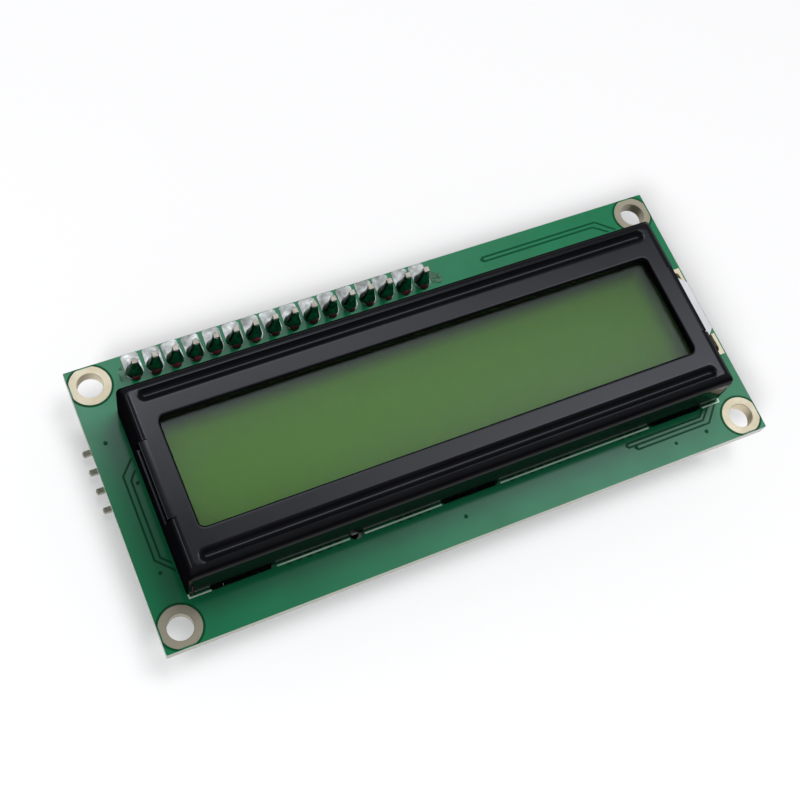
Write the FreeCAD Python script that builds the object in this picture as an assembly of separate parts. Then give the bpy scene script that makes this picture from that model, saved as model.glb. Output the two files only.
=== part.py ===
# Character display module with a serial adapter board soldered behind it.
# Frame: X along the long side, Y towards the sixteen-pin row, Z up through the viewing window.
# Origin: centre of the four mounting holes, on the front face of the main board.
import FreeCAD, Part
import math
import os
from FreeCAD import Vector

os.makedirs("parts", exist_ok=True)

# Main board
board_length = 80.0
board_depth = 36.0
board_thickness = 1.6
copper = 0.05                # copper with its plating, drawn a little thick
hole_inset = 2.5             # mounting hole centre to the two board edges beside it
hole_diameter = 3.1
hole_pad_diameter = 5.0
pad_edge_gap = 0.2           # bare strip between a pad and the board edge

# Sixteen-pin row
pin_count = 16
pitch = 2.54
pin_width = 0.64
first_pin_from_side = 8.0    # first pin to the left edge of the board
pin_row_from_edge = 2.5      # row to the rear edge of the board
pin_hole_diameter = 1.0
pin_pad_diameter = 2.2
pin_tip_height = 3.2         # clipped tip above the board
pin_tip_bare = 0.3           # tip left clear of solder
pin_tail = 1.0               # tail below the adapter board
pin_chamfer = 0.15
housing_width = 2.5          # moulded strip across the row
housing_height = 2.54
housing_notch = 0.4
joint_neck = 0.2             # solder around the pin at the top of a joint
mound_spread = 0.58          # solder beside the pin at the foot of a low joint
mound_bare = 0.2             # pin left clear above a low joint

# Pressed steel bezel
bezel_from_side = 4.4        # board edge to the end of the bezel
bezel_depth = 24.2
bezel_y = -0.45              # centre line against the hole pattern
sheet = 0.5
bend_radius = 1.3            # outside of the long bends
corner_radius = 0.5
window_from_end = 3.35       # end of the bezel to the window
window_depth = 13.8
window_corner = 0.9
lip_depth = 1.0              # turned-down edge of the window
lip_gap = 0.05               # lip to the film under it
groove_offset = 10.05        # centre line of a groove from the centre of the bezel
groove_from_end = 2.1        # end of the bezel to the end of a groove
groove_half_width = 0.75
groove_depth = 0.45
side_slot_length = 9.8
side_slot_from_side = 0.35   # flat tongue of the top plate to the outer wall
tongue_gap = 0.1             # tongue to the bend at each end of a slot
side_slot_drop = 1.7         # top of the side wall below the top plate
corner_seam = 0.2
corner_seam_top = 1.2        # upper end of a seam below the bend
slot_length = 7.8
slot_width = 1.2
slot_from_end = 6.5          # end of the bezel to the centre of the outer slots
tab_width = 4.0
tab_below = 1.4              # tab below the back of the board
tab_twist = 32.0
wall_hole_diameter = 1.8
wall_hole_x = -14.85

# Display stack, from the board up
reflector_thickness = 0.25
guide_thickness = 2.6
film_thickness = 0.2
glass_thickness = 1.1
glass_from_end = 1.1         # end of the bezel to the glass
glass_side_gap = 0.3         # front glass to the inside of the bezel
strip_width = 2.0
strip_gap = 0.4
guide_left_gap = 0.5         # left end of the glass to the light guide
guide_right_gap = 1.1
film_inset = 0.6

# Backlight end block
block_from_side = 1.6        # board edge to the block
block_half_length = 4.9
block_height = 2.55
block_chamfer = 1.4
block_clearance = 0.2
light_pad_pitch = 10.1
light_pad_length = 3.05
light_pad_width = 1.8
light_slot_length = 2.1
light_slot_width = 1.0
light_lead_thickness = 0.25
light_lead_width = 0.8
light_lead_height = 0.35
light_lead_tail = 0.8        # lead below the back of the board
light_joint_diameter = 1.7
light_joint_neck = 1.1
die_length = 3.0
die_depth = 1.0
die_height = 1.5
die_pitch = 4.6

# Parts on the back of the main board
cover_diameter = 13.0
cover_height = 1.3
cover_rim = 0.25
cover_y = -8.0
cover_left_x = -19.0
cover_right_x = 12.0
row_resistor_count = 5
row_resistor_x = -7.6
row_resistor_y = -6.4
row_resistor_pitch = 2.4
light_resistor_from_side = 8.5
light_resistor_y = -1.6
light_resistor_pitch = 2.6
rear_capacitor_x = 23.0
rear_capacitor_y = -5.6
rear_capacitor_pitch = 2.6

# Adapter board; its parts are placed from its left, right and front edges
adapter_past_row = 1.7       # end pins to the two short edges
adapter_depth = 19.0
adapter_thickness = 1.6
adapter_row_from_edge = 1.7
bus_pin_count = 4
bus_from_left = 3.2
bus_from_front = 4.27
elbow_to_housing = 1.5       # upright leg of a bent pin to its housing
bent_pin_reach = 6.1         # pin past its housing
bent_pin_tail = 0.8
bent_pin_radius = 0.5
jumper_from_right = 3.2
jumper_from_front = 7.1
cap_length = 6.9
cap_wall = 0.6
cap_gap = 0.1
cap_chamfer = 0.3
clip_thickness = 0.2

# Contrast trimmer
trimmer_from_right = 9.0
trimmer_from_front = 8.4
trimmer_side = 6.8
trimmer_height = 4.6
trimmer_corner = 0.3
trimmer_foot = 0.3
trimmer_foot_side = 0.8
trimmer_foot_inset = 0.6
trimmer_pin_pitch = 5.08
trimmer_pin_diameter = 0.6
trimmer_pin_tail = 0.7
rotor_diameter = 3.5
rotor_depth = 1.1
rotor_gap = 0.05
rotor_spigot_diameter = 1.3
rotor_spigot_length = 1.4
rotor_slot_width = 0.6
rotor_slot_length = 2.6
rotor_slot_depth = 0.55

# Port expander chip
chip_from_left = 15.1
chip_from_front = 8.4
chip_length = 10.3
chip_width = 7.5
chip_height = 2.35
chip_standoff = 0.15
chip_chamfer = 0.25
chip_lead_pitch = 1.27
chip_lead_count = 8
chip_lead_width = 0.42
chip_lead_thickness = 0.25
chip_span = 10.3
dimple_diameter = 1.0
dimple_depth = 0.1
dimple_inset = 1.25

# Switching transistor
transistor_from_right = 13.4
transistor_from_front = 14.2
transistor_length = 2.9
transistor_width = 1.3
transistor_height = 1.0
transistor_standoff = 0.1
transistor_span = 2.4
transistor_pitch = 0.95
transistor_lead_width = 0.4
transistor_lead_thickness = 0.15

# Chip resistors, capacitors and the indicator
chip_part_length = 2.0
chip_part_width = 1.25
resistor_height = 0.5
capacitor_height = 0.85
terminal_length = 0.35
pullup_from_left = 6.9
pullup_from_front = 6.0
pullup_pitch = 4.4
filter_to_trimmer = 7.4
filter_from_front = 5.0
filter_pitch = 5.0
lamp_resistor_from_right = 5.2
lamp_resistor_from_front = 14.0
indicator_from_left = 6.1
indicator_from_front = 2.4
indicator_to_capacitor = 3.4
indicator_base = 0.45
indicator_lens = 0.4
indicator_lens_length = 1.2
indicator_lens_radius = 0.25

# Open pads that set the bus address
address_count = 3
address_pitch = 2.6
address_from_front = 1.5
address_pair_pitch = 1.1
address_length = 1.4
address_depth = 0.8

# Sides given to small round things, so that each stays light
pin_sides = 8
pad_sides = 14
cover_sides = 20
past = 1.0                   # cutters reach this far past what they cut

# Derived levels and places
board_back = -board_thickness
board_x1 = board_length / 2
adapter_top = board_back - copper - housing_height
adapter_back = adapter_top - adapter_thickness
pin_x0 = first_pin_from_side - board_x1
pin_y = board_depth / 2 - pin_row_from_edge
pin_level = adapter_back - housing_height / 2
adapter_y1 = pin_y + adapter_row_from_edge
adapter_y0 = adapter_y1 - adapter_depth
adapter_x0 = pin_x0 - adapter_past_row
adapter_x1 = pin_x0 + (pin_count - 1) * pitch + adapter_past_row
bezel_x1 = board_x1 - bezel_from_side
bezel_length = 2 * bezel_x1
slot_offset = bezel_depth / 2 - sheet / 2
slot_pitch = bezel_x1 - slot_from_end
window_length = bezel_length - 2 * window_from_end
groove_end = bezel_x1 - groove_from_end
light_pad_x = board_x1 - pad_edge_gap - light_pad_width / 2
glass_length = bezel_length - 2 * glass_from_end
guide_x0 = guide_left_gap - glass_length / 2
guide_x1 = glass_length / 2 - guide_right_gap
guide_top = reflector_thickness + guide_thickness
rear_film_z = guide_top + film_thickness
rear_glass_z = rear_film_z + film_thickness
front_glass_z = rear_glass_z + glass_thickness
front_film_z = front_glass_z + glass_thickness
stack_top = front_film_z + film_thickness
bezel_height = stack_top + lip_gap + lip_depth
glass_depth = bezel_depth - 2 * sheet - 2 * glass_side_gap
strip_offset = glass_depth / 2 - strip_width / 2
inner_depth = glass_depth - 2 * strip_width - 2 * strip_gap
bus_x = adapter_x0 + bus_from_left
bus_first_y = adapter_y0 + bus_from_front
jumper_x = adapter_x1 - jumper_from_right
jumper_y = adapter_y0 + jumper_from_front
trimmer_x = adapter_x1 - trimmer_from_right
trimmer_y = adapter_y0 + trimmer_from_front
chip_x = adapter_x0 + chip_from_left
chip_y = adapter_y0 + chip_from_front
indicator_x = adapter_x0 + indicator_from_left
indicator_y = adapter_y0 + indicator_from_front

hole_centres = [(sx * (board_x1 - hole_inset), sy * (board_depth / 2 - hole_inset))
                for sx in (-1, 1) for sy in (-1, 1)]
pin_centres = [(pin_x0 + i * pitch, pin_y) for i in range(pin_count)]
bus_centres = [(bus_x, bus_first_y + i * pitch) for i in range(bus_pin_count)]
jumper_centres = [(jumper_x, jumper_y + s * pitch / 2) for s in (-1, 1)]
trimmer_centres = [(trimmer_x + i * trimmer_pin_pitch / 2, trimmer_y + s * trimmer_pin_pitch / 4)
                   for i, s in ((-1, -1), (0, 1), (1, -1))]
light_pads = [(light_pad_x, bezel_y + s * light_pad_pitch / 2) for s in (-1, 1)]
bezel_slots = [(i * slot_pitch, bezel_y + s * slot_offset) for s in (-1, 1) for i in (-1, 0, 1)]


def block(x0, x1, y0, y1, z0, z1):
    """Box between two corners."""
    return Part.makeBox(x1 - x0, y1 - y0, z1 - z0, Vector(x0, y0, z0))


def centred(x, y, length, depth, z0, z1):
    """Box centred on a point in plan."""
    return block(x - length / 2, x + length / 2, y - depth / 2, y + depth / 2, z0, z1)


def rod(x, y, radius, z0, z1):
    """Upright cylinder."""
    return Part.makeCylinder(radius, z1 - z0, Vector(x, y, z0), Vector(0, 0, 1))


def joined(shapes):
    """One solid from shapes that touch."""
    return shapes[0].fuse(shapes[1:]).removeSplitter()


def upright(edge):
    """True for a straight upright edge."""
    a = edge.Vertexes[0].Point
    b = edge.Vertexes[-1].Point
    return math.hypot(a.x - b.x, a.y - b.y) < 1e-6


def at_level(edge, z):
    """True for an edge that lies at one height."""
    return all(abs(v.Point.z - z) < 1e-6 for v in edge.Vertexes)


def at_end(edge, x):
    """True for an edge that lies at one place along the board."""
    return all(abs(v.Point.x - x) < 1e-6 for v in edge.Vertexes)


def rounded_block(x, y, length, depth, z0, z1, corner):
    """Box with rounded upright corners."""
    solid = centred(x, y, length, depth, z0, z1)
    return solid.makeFillet(corner, [e for e in solid.Edges if upright(e)])


def extruded(points, direction):
    """Prism over a closed outline."""
    return Part.Face(Part.makePolygon(points + [points[0]])).extrude(direction)


def slot_block(x, y, length, depth, z0, z1):
    """Oblong with round ends of a few flats along its longer side."""
    radius = min(length, depth) / 2
    half = max(length, depth) / 2 - radius
    steps = pin_sides // 2
    outline = []
    for end in (1, -1):
        for i in range(steps + 1):
            angle = math.pi * (i / steps - 0.5)
            along = end * (half + radius * math.cos(angle))
            across = end * radius * math.sin(angle)
            offset = (along, across) if length > depth else (-across, along)
            outline.append(Vector(x + offset[0], y + offset[1], z0))
    return extruded(outline, Vector(0, 0, z1 - z0))


def skinned(rings, twisted=False):
    """Solid between rings of corners; the sides of a twisted one are pairs of flat triangles."""
    faces = [Part.Face(Part.makePolygon(ring + [ring[0]])) for ring in (rings[0], rings[-1])]
    for low, high in zip(rings, rings[1:]):
        for i, start in enumerate(low):
            j = (i + 1) % len(low)
            outlines = [[start, low[j], high[j], high[i]]]
            if twisted:
                outlines = [[start, low[j], high[j]], [start, high[j], high[i]]]
            faces += [Part.Face(Part.makePolygon(outline + [start])) for outline in outlines]
    return Part.Solid(Part.Shell(faces))


def many_sided(x, y, profile, sides):
    """Solid of flats about an upright axis; the profile lists radius and height from the foot up."""
    rings = []
    for radius, z in profile:
        ring = []
        for i in range(sides):
            angle = 2 * math.pi * (i + 0.5) / sides
            ring.append(Vector(x + radius * math.cos(angle), y + radius * math.sin(angle), z))
        rings.append(ring)
    return skinned(rings)


def prism(x, y, radius, sides, z0, z1):
    """Upright prism that stands for a small round bar or hole."""
    return many_sided(x, y, [(radius, z0), (radius, z1)], sides)


def save(name, shapes):
    """Write one node as a STEP file."""
    solids = shapes if isinstance(shapes, list) else [shapes]
    single = [s for shape in solids for s in shape.Solids]
    out = single[0] if len(single) == 1 else Part.makeCompound(single)
    out.exportStep("parts/%s.step" % name)
    print(name, len(single), round(sum(s.Volume for s in single), 3), all(s.isValid() for s in single))


def plated_ring(x, y, pad, barrel, sides, opening):
    """Copper on both faces joined by the plated wall of a hole."""
    top = prism(x, y, pad, sides, 0, copper)
    back = prism(x, y, pad, sides, board_back - copper, board_back)
    return joined([top, back, barrel]).cut(opening)


def main_board():
    """Glass-fibre board with its drilled and routed openings."""
    board = centred(0, 0, board_length, board_depth, board_back, 0)
    tools = []
    round_the_barrel = (hole_diameter / 2 + copper) / math.cos(math.pi / pad_sides)
    for x, y in hole_centres:
        tools.append(prism(x, y, round_the_barrel, pad_sides, board_back - past, past))
    for x, y in pin_centres:
        tools.append(prism(x, y, pin_hole_diameter / 2 + copper, pin_sides, board_back - past, past))
    for x, y in bezel_slots:
        tools.append(slot_block(x, y, slot_length, slot_width, board_back - past, past))
    for x, y in light_pads:
        tools.append(slot_block(x, y, light_slot_width + 2 * copper, light_slot_length + 2 * copper,
                                board_back - past, past))
    tools.append(prism(wall_hole_x, bezel_y - slot_offset, wall_hole_diameter / 2, pad_sides,
                       board_back - past, past))
    return board.cut(tools)


def mounting_pads():
    """Four plated mounting holes, their pads cut straight beside the board edges."""
    keep = centred(0, 0, board_length - 2 * pad_edge_gap, board_depth - 2 * pad_edge_gap,
                   board_back - past, past)
    rings = []
    for x, y in hole_centres:
        barrel = rod(x, y, hole_diameter / 2 + copper, board_back - copper, copper)
        opening = rod(x, y, hole_diameter / 2, board_back - past, past)
        ring = plated_ring(x, y, hole_pad_diameter / 2, barrel, pad_sides, opening)
        rings.append(ring.common(keep))
    return rings


def header_pads():
    """Plated holes of the pin row."""
    rings = []
    for x, y in pin_centres:
        barrel = prism(x, y, pin_hole_diameter / 2 + copper, pin_sides, board_back - copper, copper)
        opening = prism(x, y, pin_hole_diameter / 2, pin_sides, board_back - past, past)
        rings.append(plated_ring(x, y, pin_pad_diameter / 2, barrel, pin_sides, opening))
    return rings


def backlight_pads():
    """Two plated slots for the leads of the backlight."""
    rings = []
    for x, y in light_pads:
        top = centred(x, y, light_pad_width, light_pad_length, 0, copper)
        back = centred(x, y, light_pad_width, light_pad_length, board_back - copper, board_back)
        wall = slot_block(x, y, light_slot_width + 2 * copper, light_slot_length + 2 * copper,
                          board_back - copper, copper)
        opening = slot_block(x, y, light_slot_width, light_slot_length, board_back - past, past)
        rings.append(joined([top, wall, back]).cut(opening))
    return rings


def groove_bar(y, half_width, depth, reach):
    """Bar with a round belly and tapered ends that presses a groove into the top plate."""
    steps = 6
    rings = []
    for x, scale in ((-reach, 0.4), (-reach + 0.3 * half_width, 0.8), (half_width - reach, 1.0),
                     (reach - half_width, 1.0), (reach - 0.3 * half_width, 0.8), (reach, 0.4)):
        outline = [(half_width, past), (-half_width, past)]
        for i in range(steps + 1):
            angle = math.pi * i / steps
            outline.append((-half_width * math.cos(angle), -depth * math.sin(angle)))
        rings.append([Vector(x, y + u * scale, bezel_height + w * scale) for u, w in outline])
    return skinned(rings)


def bezel_tab(x, y):
    """Tab through a board slot, twisted behind the board to hold the bezel down."""
    rings = []
    for z, twist in ((board_back - tab_below, tab_twist), (board_back - tab_below / 2, tab_twist / 2),
                     (board_back, 0.0), (sheet, 0.0)):
        angle = math.radians(twist)
        ring = []
        for u, v in ((-1, -1), (1, -1), (1, 1), (-1, 1)):
            px = u * tab_width / 2
            py = v * sheet / 2
            ring.append(Vector(x + px * math.cos(angle) - py * math.sin(angle),
                               y + px * math.sin(angle) + py * math.cos(angle), z))
        rings.append(ring)
    return skinned(rings, twisted=True)


def metal_bezel():
    """Bezel folded from one sheet: grooves, turned window edge, slotted ends, seams and tabs."""
    outer = rounded_block(0, bezel_y, bezel_length, bezel_depth, 0, bezel_height, corner_radius)
    outer = outer.makeFillet(bend_radius, [e for e in outer.Edges if at_level(e, bezel_height)])
    room_length = bezel_length - 2 * sheet
    room_depth = bezel_depth - 2 * sheet
    ceiling = bezel_height - sheet
    room = centred(0, bezel_y, room_length, room_depth, 0, ceiling)
    inner_bend = (bend_radius - sheet) * (2 - math.sqrt(2))
    room = room.makeChamfer(inner_bend, [e for e in room.Edges if at_level(e, ceiling)])
    shell = outer.cut(room)

    lip_base = bezel_height - lip_depth
    lip = rounded_block(0, bezel_y, window_length + 2 * sheet, window_depth + 2 * sheet,
                        lip_base, bezel_height, window_corner + sheet)
    window = rounded_block(0, bezel_y, window_length, window_depth, lip_base - past,
                           bezel_height + past, window_corner)
    shell = joined([shell, lip]).cut(window)

    under_plate = centred(0, bezel_y, room_length, room_depth, 0, ceiling + sheet / 2)
    for side in (-1, 1):
        y = bezel_y + side * groove_offset
        belly = groove_bar(y, groove_half_width + sheet / 2, groove_depth + sheet,
                           groove_end + sheet / 2)
        shell = joined([shell, belly.common(under_plate)])
        shell = shell.cut(groove_bar(y, groove_half_width, groove_depth, groove_end))

    tools = []
    tongues = []
    for side in (-1, 1):
        x = side * (bezel_x1 + (past - bend_radius) / 2)
        tools.append(centred(x, bezel_y, bend_radius + past, side_slot_length,
                             bezel_height - side_slot_drop, bezel_height + past))
        x = side * (bezel_x1 - (bend_radius + side_slot_from_side) / 2)
        tongues.append(centred(x, bezel_y, bend_radius - side_slot_from_side,
                               side_slot_length - 2 * tongue_gap, ceiling, bezel_height))
        for end in (-1, 1):
            seam_x = side * (bezel_x1 - sheet - corner_seam / 2)
            seam_y = bezel_y + end * bezel_depth / 2
            tools.append(centred(seam_x, seam_y, corner_seam, 2 * (sheet + glass_side_gap / 2),
                                 -past, bezel_height - bend_radius - corner_seam_top))
    port = block_half_length + block_clearance
    tools.append(block(bezel_x1 - sheet - past, bezel_x1 + past, bezel_y - port, bezel_y + port,
                       -past, block_height + block_clearance))
    shell = shell.cut(tools)
    return joined([shell] + tongues + [bezel_tab(x, y) for x, y in bezel_slots])


def display_stack():
    """Reflector, light guide, films, two glass plates and the two contact strips."""
    film_length = glass_length - 2 * film_inset
    film_depth = inner_depth - film_inset
    film_y0 = bezel_y - film_depth / 2
    film_y1 = bezel_y + film_depth / 2
    y = bezel_y
    save("reflector_sheet", block(guide_x0, guide_x1, film_y0, film_y1, 0, reflector_thickness))
    save("light_guide", block(guide_x0, guide_x1, film_y0, film_y1, reflector_thickness, guide_top))
    save("diffuser_sheet", block(guide_x0, guide_x1, film_y0, film_y1, guide_top, rear_film_z))
    save("rear_polarizer", centred(0, y, film_length, film_depth, rear_film_z, rear_glass_z))
    save("rear_glass", centred(0, y, glass_length, inner_depth, rear_glass_z, front_glass_z))
    save("front_glass", centred(0, y, glass_length, glass_depth, front_glass_z, front_film_z))
    save("front_polarizer", centred(0, y, film_length, film_depth, front_film_z, stack_top))
    for name, side in (("zebra_strip_front", -1), ("zebra_strip_rear", 1)):
        save(name, centred(0, y + side * strip_offset, film_length, strip_width, 0, front_glass_z))


def backlight():
    """White end block with two light sources, its leads and their joints."""
    reach = board_x1 - block_from_side
    y0 = bezel_y - block_half_length
    y1 = bezel_y + block_half_length
    corners = [
        (guide_x1, y0), (reach - block_chamfer, y0), (reach, y0 + block_chamfer),
        (reach, y1 - block_chamfer), (reach - block_chamfer, y1), (guide_x1, y1),
    ]
    outline = [Vector(x, y, copper) for x, y in corners]
    body = extruded(outline, Vector(0, 0, block_height - copper))
    die_z = reflector_thickness + (guide_thickness - die_height) / 2
    dies = []
    for side in (-1, 1):
        y = bezel_y + side * die_pitch / 2
        dies.append(block(guide_x1, guide_x1 + die_depth, y - die_length / 2, y + die_length / 2,
                          die_z, die_z + die_height))
    leads = []
    joints = []
    tail = board_back - light_lead_tail
    lead_top = light_lead_height + light_lead_thickness
    neck_z = tail + light_lead_thickness / 2
    for side, (x, y) in zip((-1, 1), light_pads):
        near = bezel_y + side * (block_half_length - block_chamfer)
        far = y + side * light_lead_width / 2
        flat = block(x - 1.5 * light_lead_thickness, x + light_lead_thickness / 2,
                     min(near, far), max(near, far), light_lead_height, lead_top)
        down = centred(x - light_lead_thickness / 2, y, 2 * light_lead_thickness, light_lead_width,
                       tail, lead_top)
        leads.append(joined([flat, down]))
        joints.append(many_sided(x, y, [(light_joint_neck / 2, neck_z),
                                        (light_joint_diameter / 2, board_back - copper)], pin_sides))
    save("backlight_block", body.cut(dies + leads))
    save("backlight_leds", dies)
    save("backlight_leads", leads)
    save("backlight_solder", [joint.cut(lead) for joint, lead in zip(joints, leads)])


def chip_cover(x):
    """Domed black resin over a bonded chip on the back of the board."""
    radius = cover_diameter / 2
    rise = cover_height - cover_rim
    sphere = (radius ** 2 + rise ** 2) / (2 * rise)
    top = board_back - cover_height
    profile = []
    for share in (0.35, 0.7, 1.0):
        r = radius * share
        profile.append((r, top + sphere - math.sqrt(sphere ** 2 - r ** 2)))
    profile.append((radius, board_back))
    return many_sided(x, cover_y, profile, cover_sides)


def chip_part(x, y, across, face, height):
    """Body and two end caps of a chip resistor or capacitor that lies along X, or Y if across."""
    half = chip_part_length / 2
    middle = half - terminal_length
    wide = chip_part_width / 2
    pieces = []
    for a, b in ((-middle, middle), (-half, -middle), (middle, half)):
        if across:
            pieces.append(block(x - wide, x + wide, y + a, y + b, face - height, face))
        else:
            pieces.append(block(x + a, x + b, y - wide, y + wide, face - height, face))
    return pieces[0], pieces[1:]


def chip_parts(name, places, face, height):
    """Save the bodies and the end caps of several chip parts."""
    bodies = []
    caps = []
    for x, y, across in places:
        body, ends = chip_part(x, y, across, face, height)
        bodies.append(body)
        caps.extend(ends)
    save(name + "s", bodies)
    save(name + "_ends", caps)


def solder_mound(x, y, face, side, height):
    """Low solder fillet around a pin; side is 1 above a face and -1 below it."""
    narrow = pin_width / 2 + joint_neck
    wide = pin_width / 2 + mound_spread
    return many_sided(x, y, [(wide, face), (narrow, face + side * height)], pin_sides)


def header():
    """Straight pins, their moulded strip and the soldered joints on both boards."""
    foot = adapter_back - pin_tail
    pins = []
    for x, y in pin_centres:
        pin = centred(x, y, pin_width, pin_width, foot, pin_tip_height)
        pins.append(pin.makeChamfer(pin_chamfer, [e for e in pin.Edges if at_level(e, foot)]))

    waist = housing_width / 2 - housing_notch
    outline = []
    for side in (-1, 1):
        for x, _ in pin_centres[::-side]:
            near = x + side * pitch / 2
            far = x - side * pitch / 2
            outline.append(Vector(near, pin_y + side * waist, adapter_top))
            outline.append(Vector(near - side * housing_notch, pin_y + side * housing_width / 2, adapter_top))
            outline.append(Vector(far + side * housing_notch, pin_y + side * housing_width / 2, adapter_top))
        outline.append(Vector(far, pin_y + side * waist, adapter_top))
    strip = extruded(outline, Vector(0, 0, housing_height)).cut(pins)

    base = pin_pad_diameter / 2
    neck = pin_width / 2 + joint_neck
    rise = pin_tip_height - pin_tip_bare - copper
    profile = [(base, 0.0), (0.62 * base, 0.45), (neck, 1.0)]
    cone = [(max(radius, neck), copper + share * rise) for radius, share in profile]
    front = [many_sided(x, y, cone, pin_sides).cut(pin) for (x, y), pin in zip(pin_centres, pins)]
    rear = [solder_mound(x, y, adapter_back, -1, pin_tail - mound_bare).cut(pin)
            for (x, y), pin in zip(pin_centres, pins)]
    save("header_pins", pins)
    save("header_spacer", strip)
    save("header_solder", front)
    save("adapter_header_solder", rear)


def bent_pin(x, y, tip):
    """Square pin bent at a right angle: upright leg through the adapter, level leg to its tip."""
    half = pin_width / 2
    leg = centred(x, y, pin_width, pin_width, pin_level - half, adapter_top + bent_pin_tail)
    level = block(min(x - half, tip), max(x + half, tip), y - half, y + half,
                  pin_level - half, pin_level + half)
    pin = joined([leg, level])
    far = x + half if tip < x else x - half
    heel = [e for e in pin.Edges if at_level(e, pin_level - half) and at_end(e, far)]
    pin = pin.makeFillet(bent_pin_radius, heel)
    return pin.makeChamfer(pin_chamfer, [e for e in pin.Edges if at_end(e, tip)])


def bent_header(name, centres, direction):
    """Right-angle pin strip on the adapter; direction is -1 to the left and 1 to the right."""
    near = centres[0][0] + direction * elbow_to_housing
    far = near + direction * housing_width
    tip = far + direction * bent_pin_reach
    pins = [bent_pin(x, y, tip) for x, y in centres]
    base = adapter_back - housing_height
    blocks = []
    for _, y in centres:
        way = block(min(near, far), max(near, far), y - pitch / 2, y + pitch / 2, base, adapter_back)
        edges = [e for e in way.Edges if at_level(e, base) and (at_end(e, near) or at_end(e, far))]
        blocks.append(way.makeChamfer(housing_notch, edges))
    mounds = [solder_mound(x, y, adapter_top, 1, bent_pin_tail - mound_bare).cut(pin)
              for (x, y), pin in zip(centres, pins)]
    save(name + "_header_housing", joined(blocks).cut(pins))
    save(name + "_pins", pins)
    save(name + "_pin_solder", mounds)
    return far, pins


def jumper_cap(start, pins):
    """Cap pushed on the two jumper pins, with the spring clip inside it."""
    x0 = start + cap_gap
    x1 = x0 + cap_length
    shell = block(x0, x1, jumper_y - pitch, jumper_y + pitch, pin_level - housing_height / 2,
                  adapter_back - cap_gap)
    shell = shell.makeChamfer(cap_chamfer, [e for e in shell.Edges if at_end(e, x1) and not upright(e)])
    clip_x1 = x1 - cap_wall
    clip_y = pitch - cap_wall
    clip_z = pin_width / 2 + clip_thickness
    room = block(x0 - past, clip_x1, jumper_y - clip_y, jumper_y + clip_y,
                 pin_level - clip_z, pin_level + clip_z)
    clip = block(x0 + cap_gap, clip_x1, jumper_y - clip_y, jumper_y + clip_y,
                 pin_level - clip_z, pin_level + clip_z)
    hollow = block(x0 - past, clip_x1 - clip_thickness, jumper_y - clip_y + clip_thickness,
                   jumper_y + clip_y - clip_thickness, pin_level - pin_width / 2,
                   pin_level + pin_width / 2)
    save("jumper_cap", shell.cut(room))
    save("jumper_clip", clip.cut([hollow] + pins))


def adapter_board():
    """Serial adapter board with its drilled holes."""
    board = block(adapter_x0, adapter_x1, adapter_y0, adapter_y1, adapter_back, adapter_top)
    holes = pin_centres + bus_centres + jumper_centres + trimmer_centres
    return board.cut([prism(x, y, pin_hole_diameter / 2, pin_sides, adapter_back - past, adapter_top + past)
                      for x, y in holes])


def gull_lead(x, y, side, body_y, span, level, width, thickness):
    """Gull-wing lead, pressed from strip and bent down to the board."""
    inner = y + side * body_y
    outer = y + side * span
    knee = inner + side * 0.35 * (span - body_y)
    toe = inner + side * 0.6 * (span - body_y)
    lean = side * 0.4 * thickness
    foot = adapter_back
    points = [
        (inner, level), (knee, level), (toe, foot - thickness), (outer, foot - thickness),
        (outer, foot), (toe - lean, foot), (knee - lean, level + thickness), (inner, level + thickness),
    ]
    outline = [Vector(x - width / 2, py, pz) for py, pz in points]
    return extruded(outline, Vector(width, 0, 0))


def expander_chip():
    """Wide sixteen-lead package with its leads."""
    z1 = adapter_back - chip_standoff
    z0 = z1 - chip_height
    body = centred(chip_x, chip_y, chip_length, chip_width, z0, z1)
    body = body.makeChamfer(chip_chamfer, [e for e in body.Edges if at_level(e, z0)])
    dimple = prism(chip_x - chip_length / 2 + dimple_inset, chip_y + chip_width / 2 - dimple_inset,
                   dimple_diameter / 2, pin_sides, z0 - past, z0 + dimple_depth)
    level = (z0 + z1) / 2 - chip_lead_thickness / 2
    first = chip_x - (chip_lead_count - 1) * chip_lead_pitch / 2
    leads = []
    for side in (-1, 1):
        for i in range(chip_lead_count):
            leads.append(gull_lead(first + i * chip_lead_pitch, chip_y, side, chip_width / 2,
                                   chip_span / 2, level, chip_lead_width, chip_lead_thickness))
    save("expander_chip", body.cut(dimple))
    save("expander_leads", leads)


def transistor(x, y):
    """Three-lead switching transistor."""
    z1 = adapter_back - transistor_standoff
    z0 = z1 - transistor_height
    body = centred(x, y, transistor_length, transistor_width, z0, z1)
    body = body.makeChamfer(pin_chamfer, [e for e in body.Edges if at_level(e, z0)])
    leads = []
    for place, side in ((-1, -1), (1, -1), (0, 1)):
        leads.append(gull_lead(x + place * transistor_pitch, y, side, transistor_width / 2,
                               transistor_span / 2, (z0 + z1) / 2, transistor_lead_width,
                               transistor_lead_thickness))
    save("transistor_body", body)
    save("transistor_leads", leads)


def indicator():
    """Small indicator: ceramic base and clear lens."""
    base_z = adapter_back - indicator_base
    lens_z = base_z - indicator_lens
    base = centred(indicator_x, indicator_y, chip_part_length, chip_part_width, base_z, adapter_back)
    lens = centred(indicator_x, indicator_y, indicator_lens_length, chip_part_width, lens_z, base_z)
    lens = lens.makeFillet(indicator_lens_radius, [e for e in lens.Edges if at_level(e, lens_z)])
    save("power_led_base", base)
    save("power_led_lens", lens)


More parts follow.
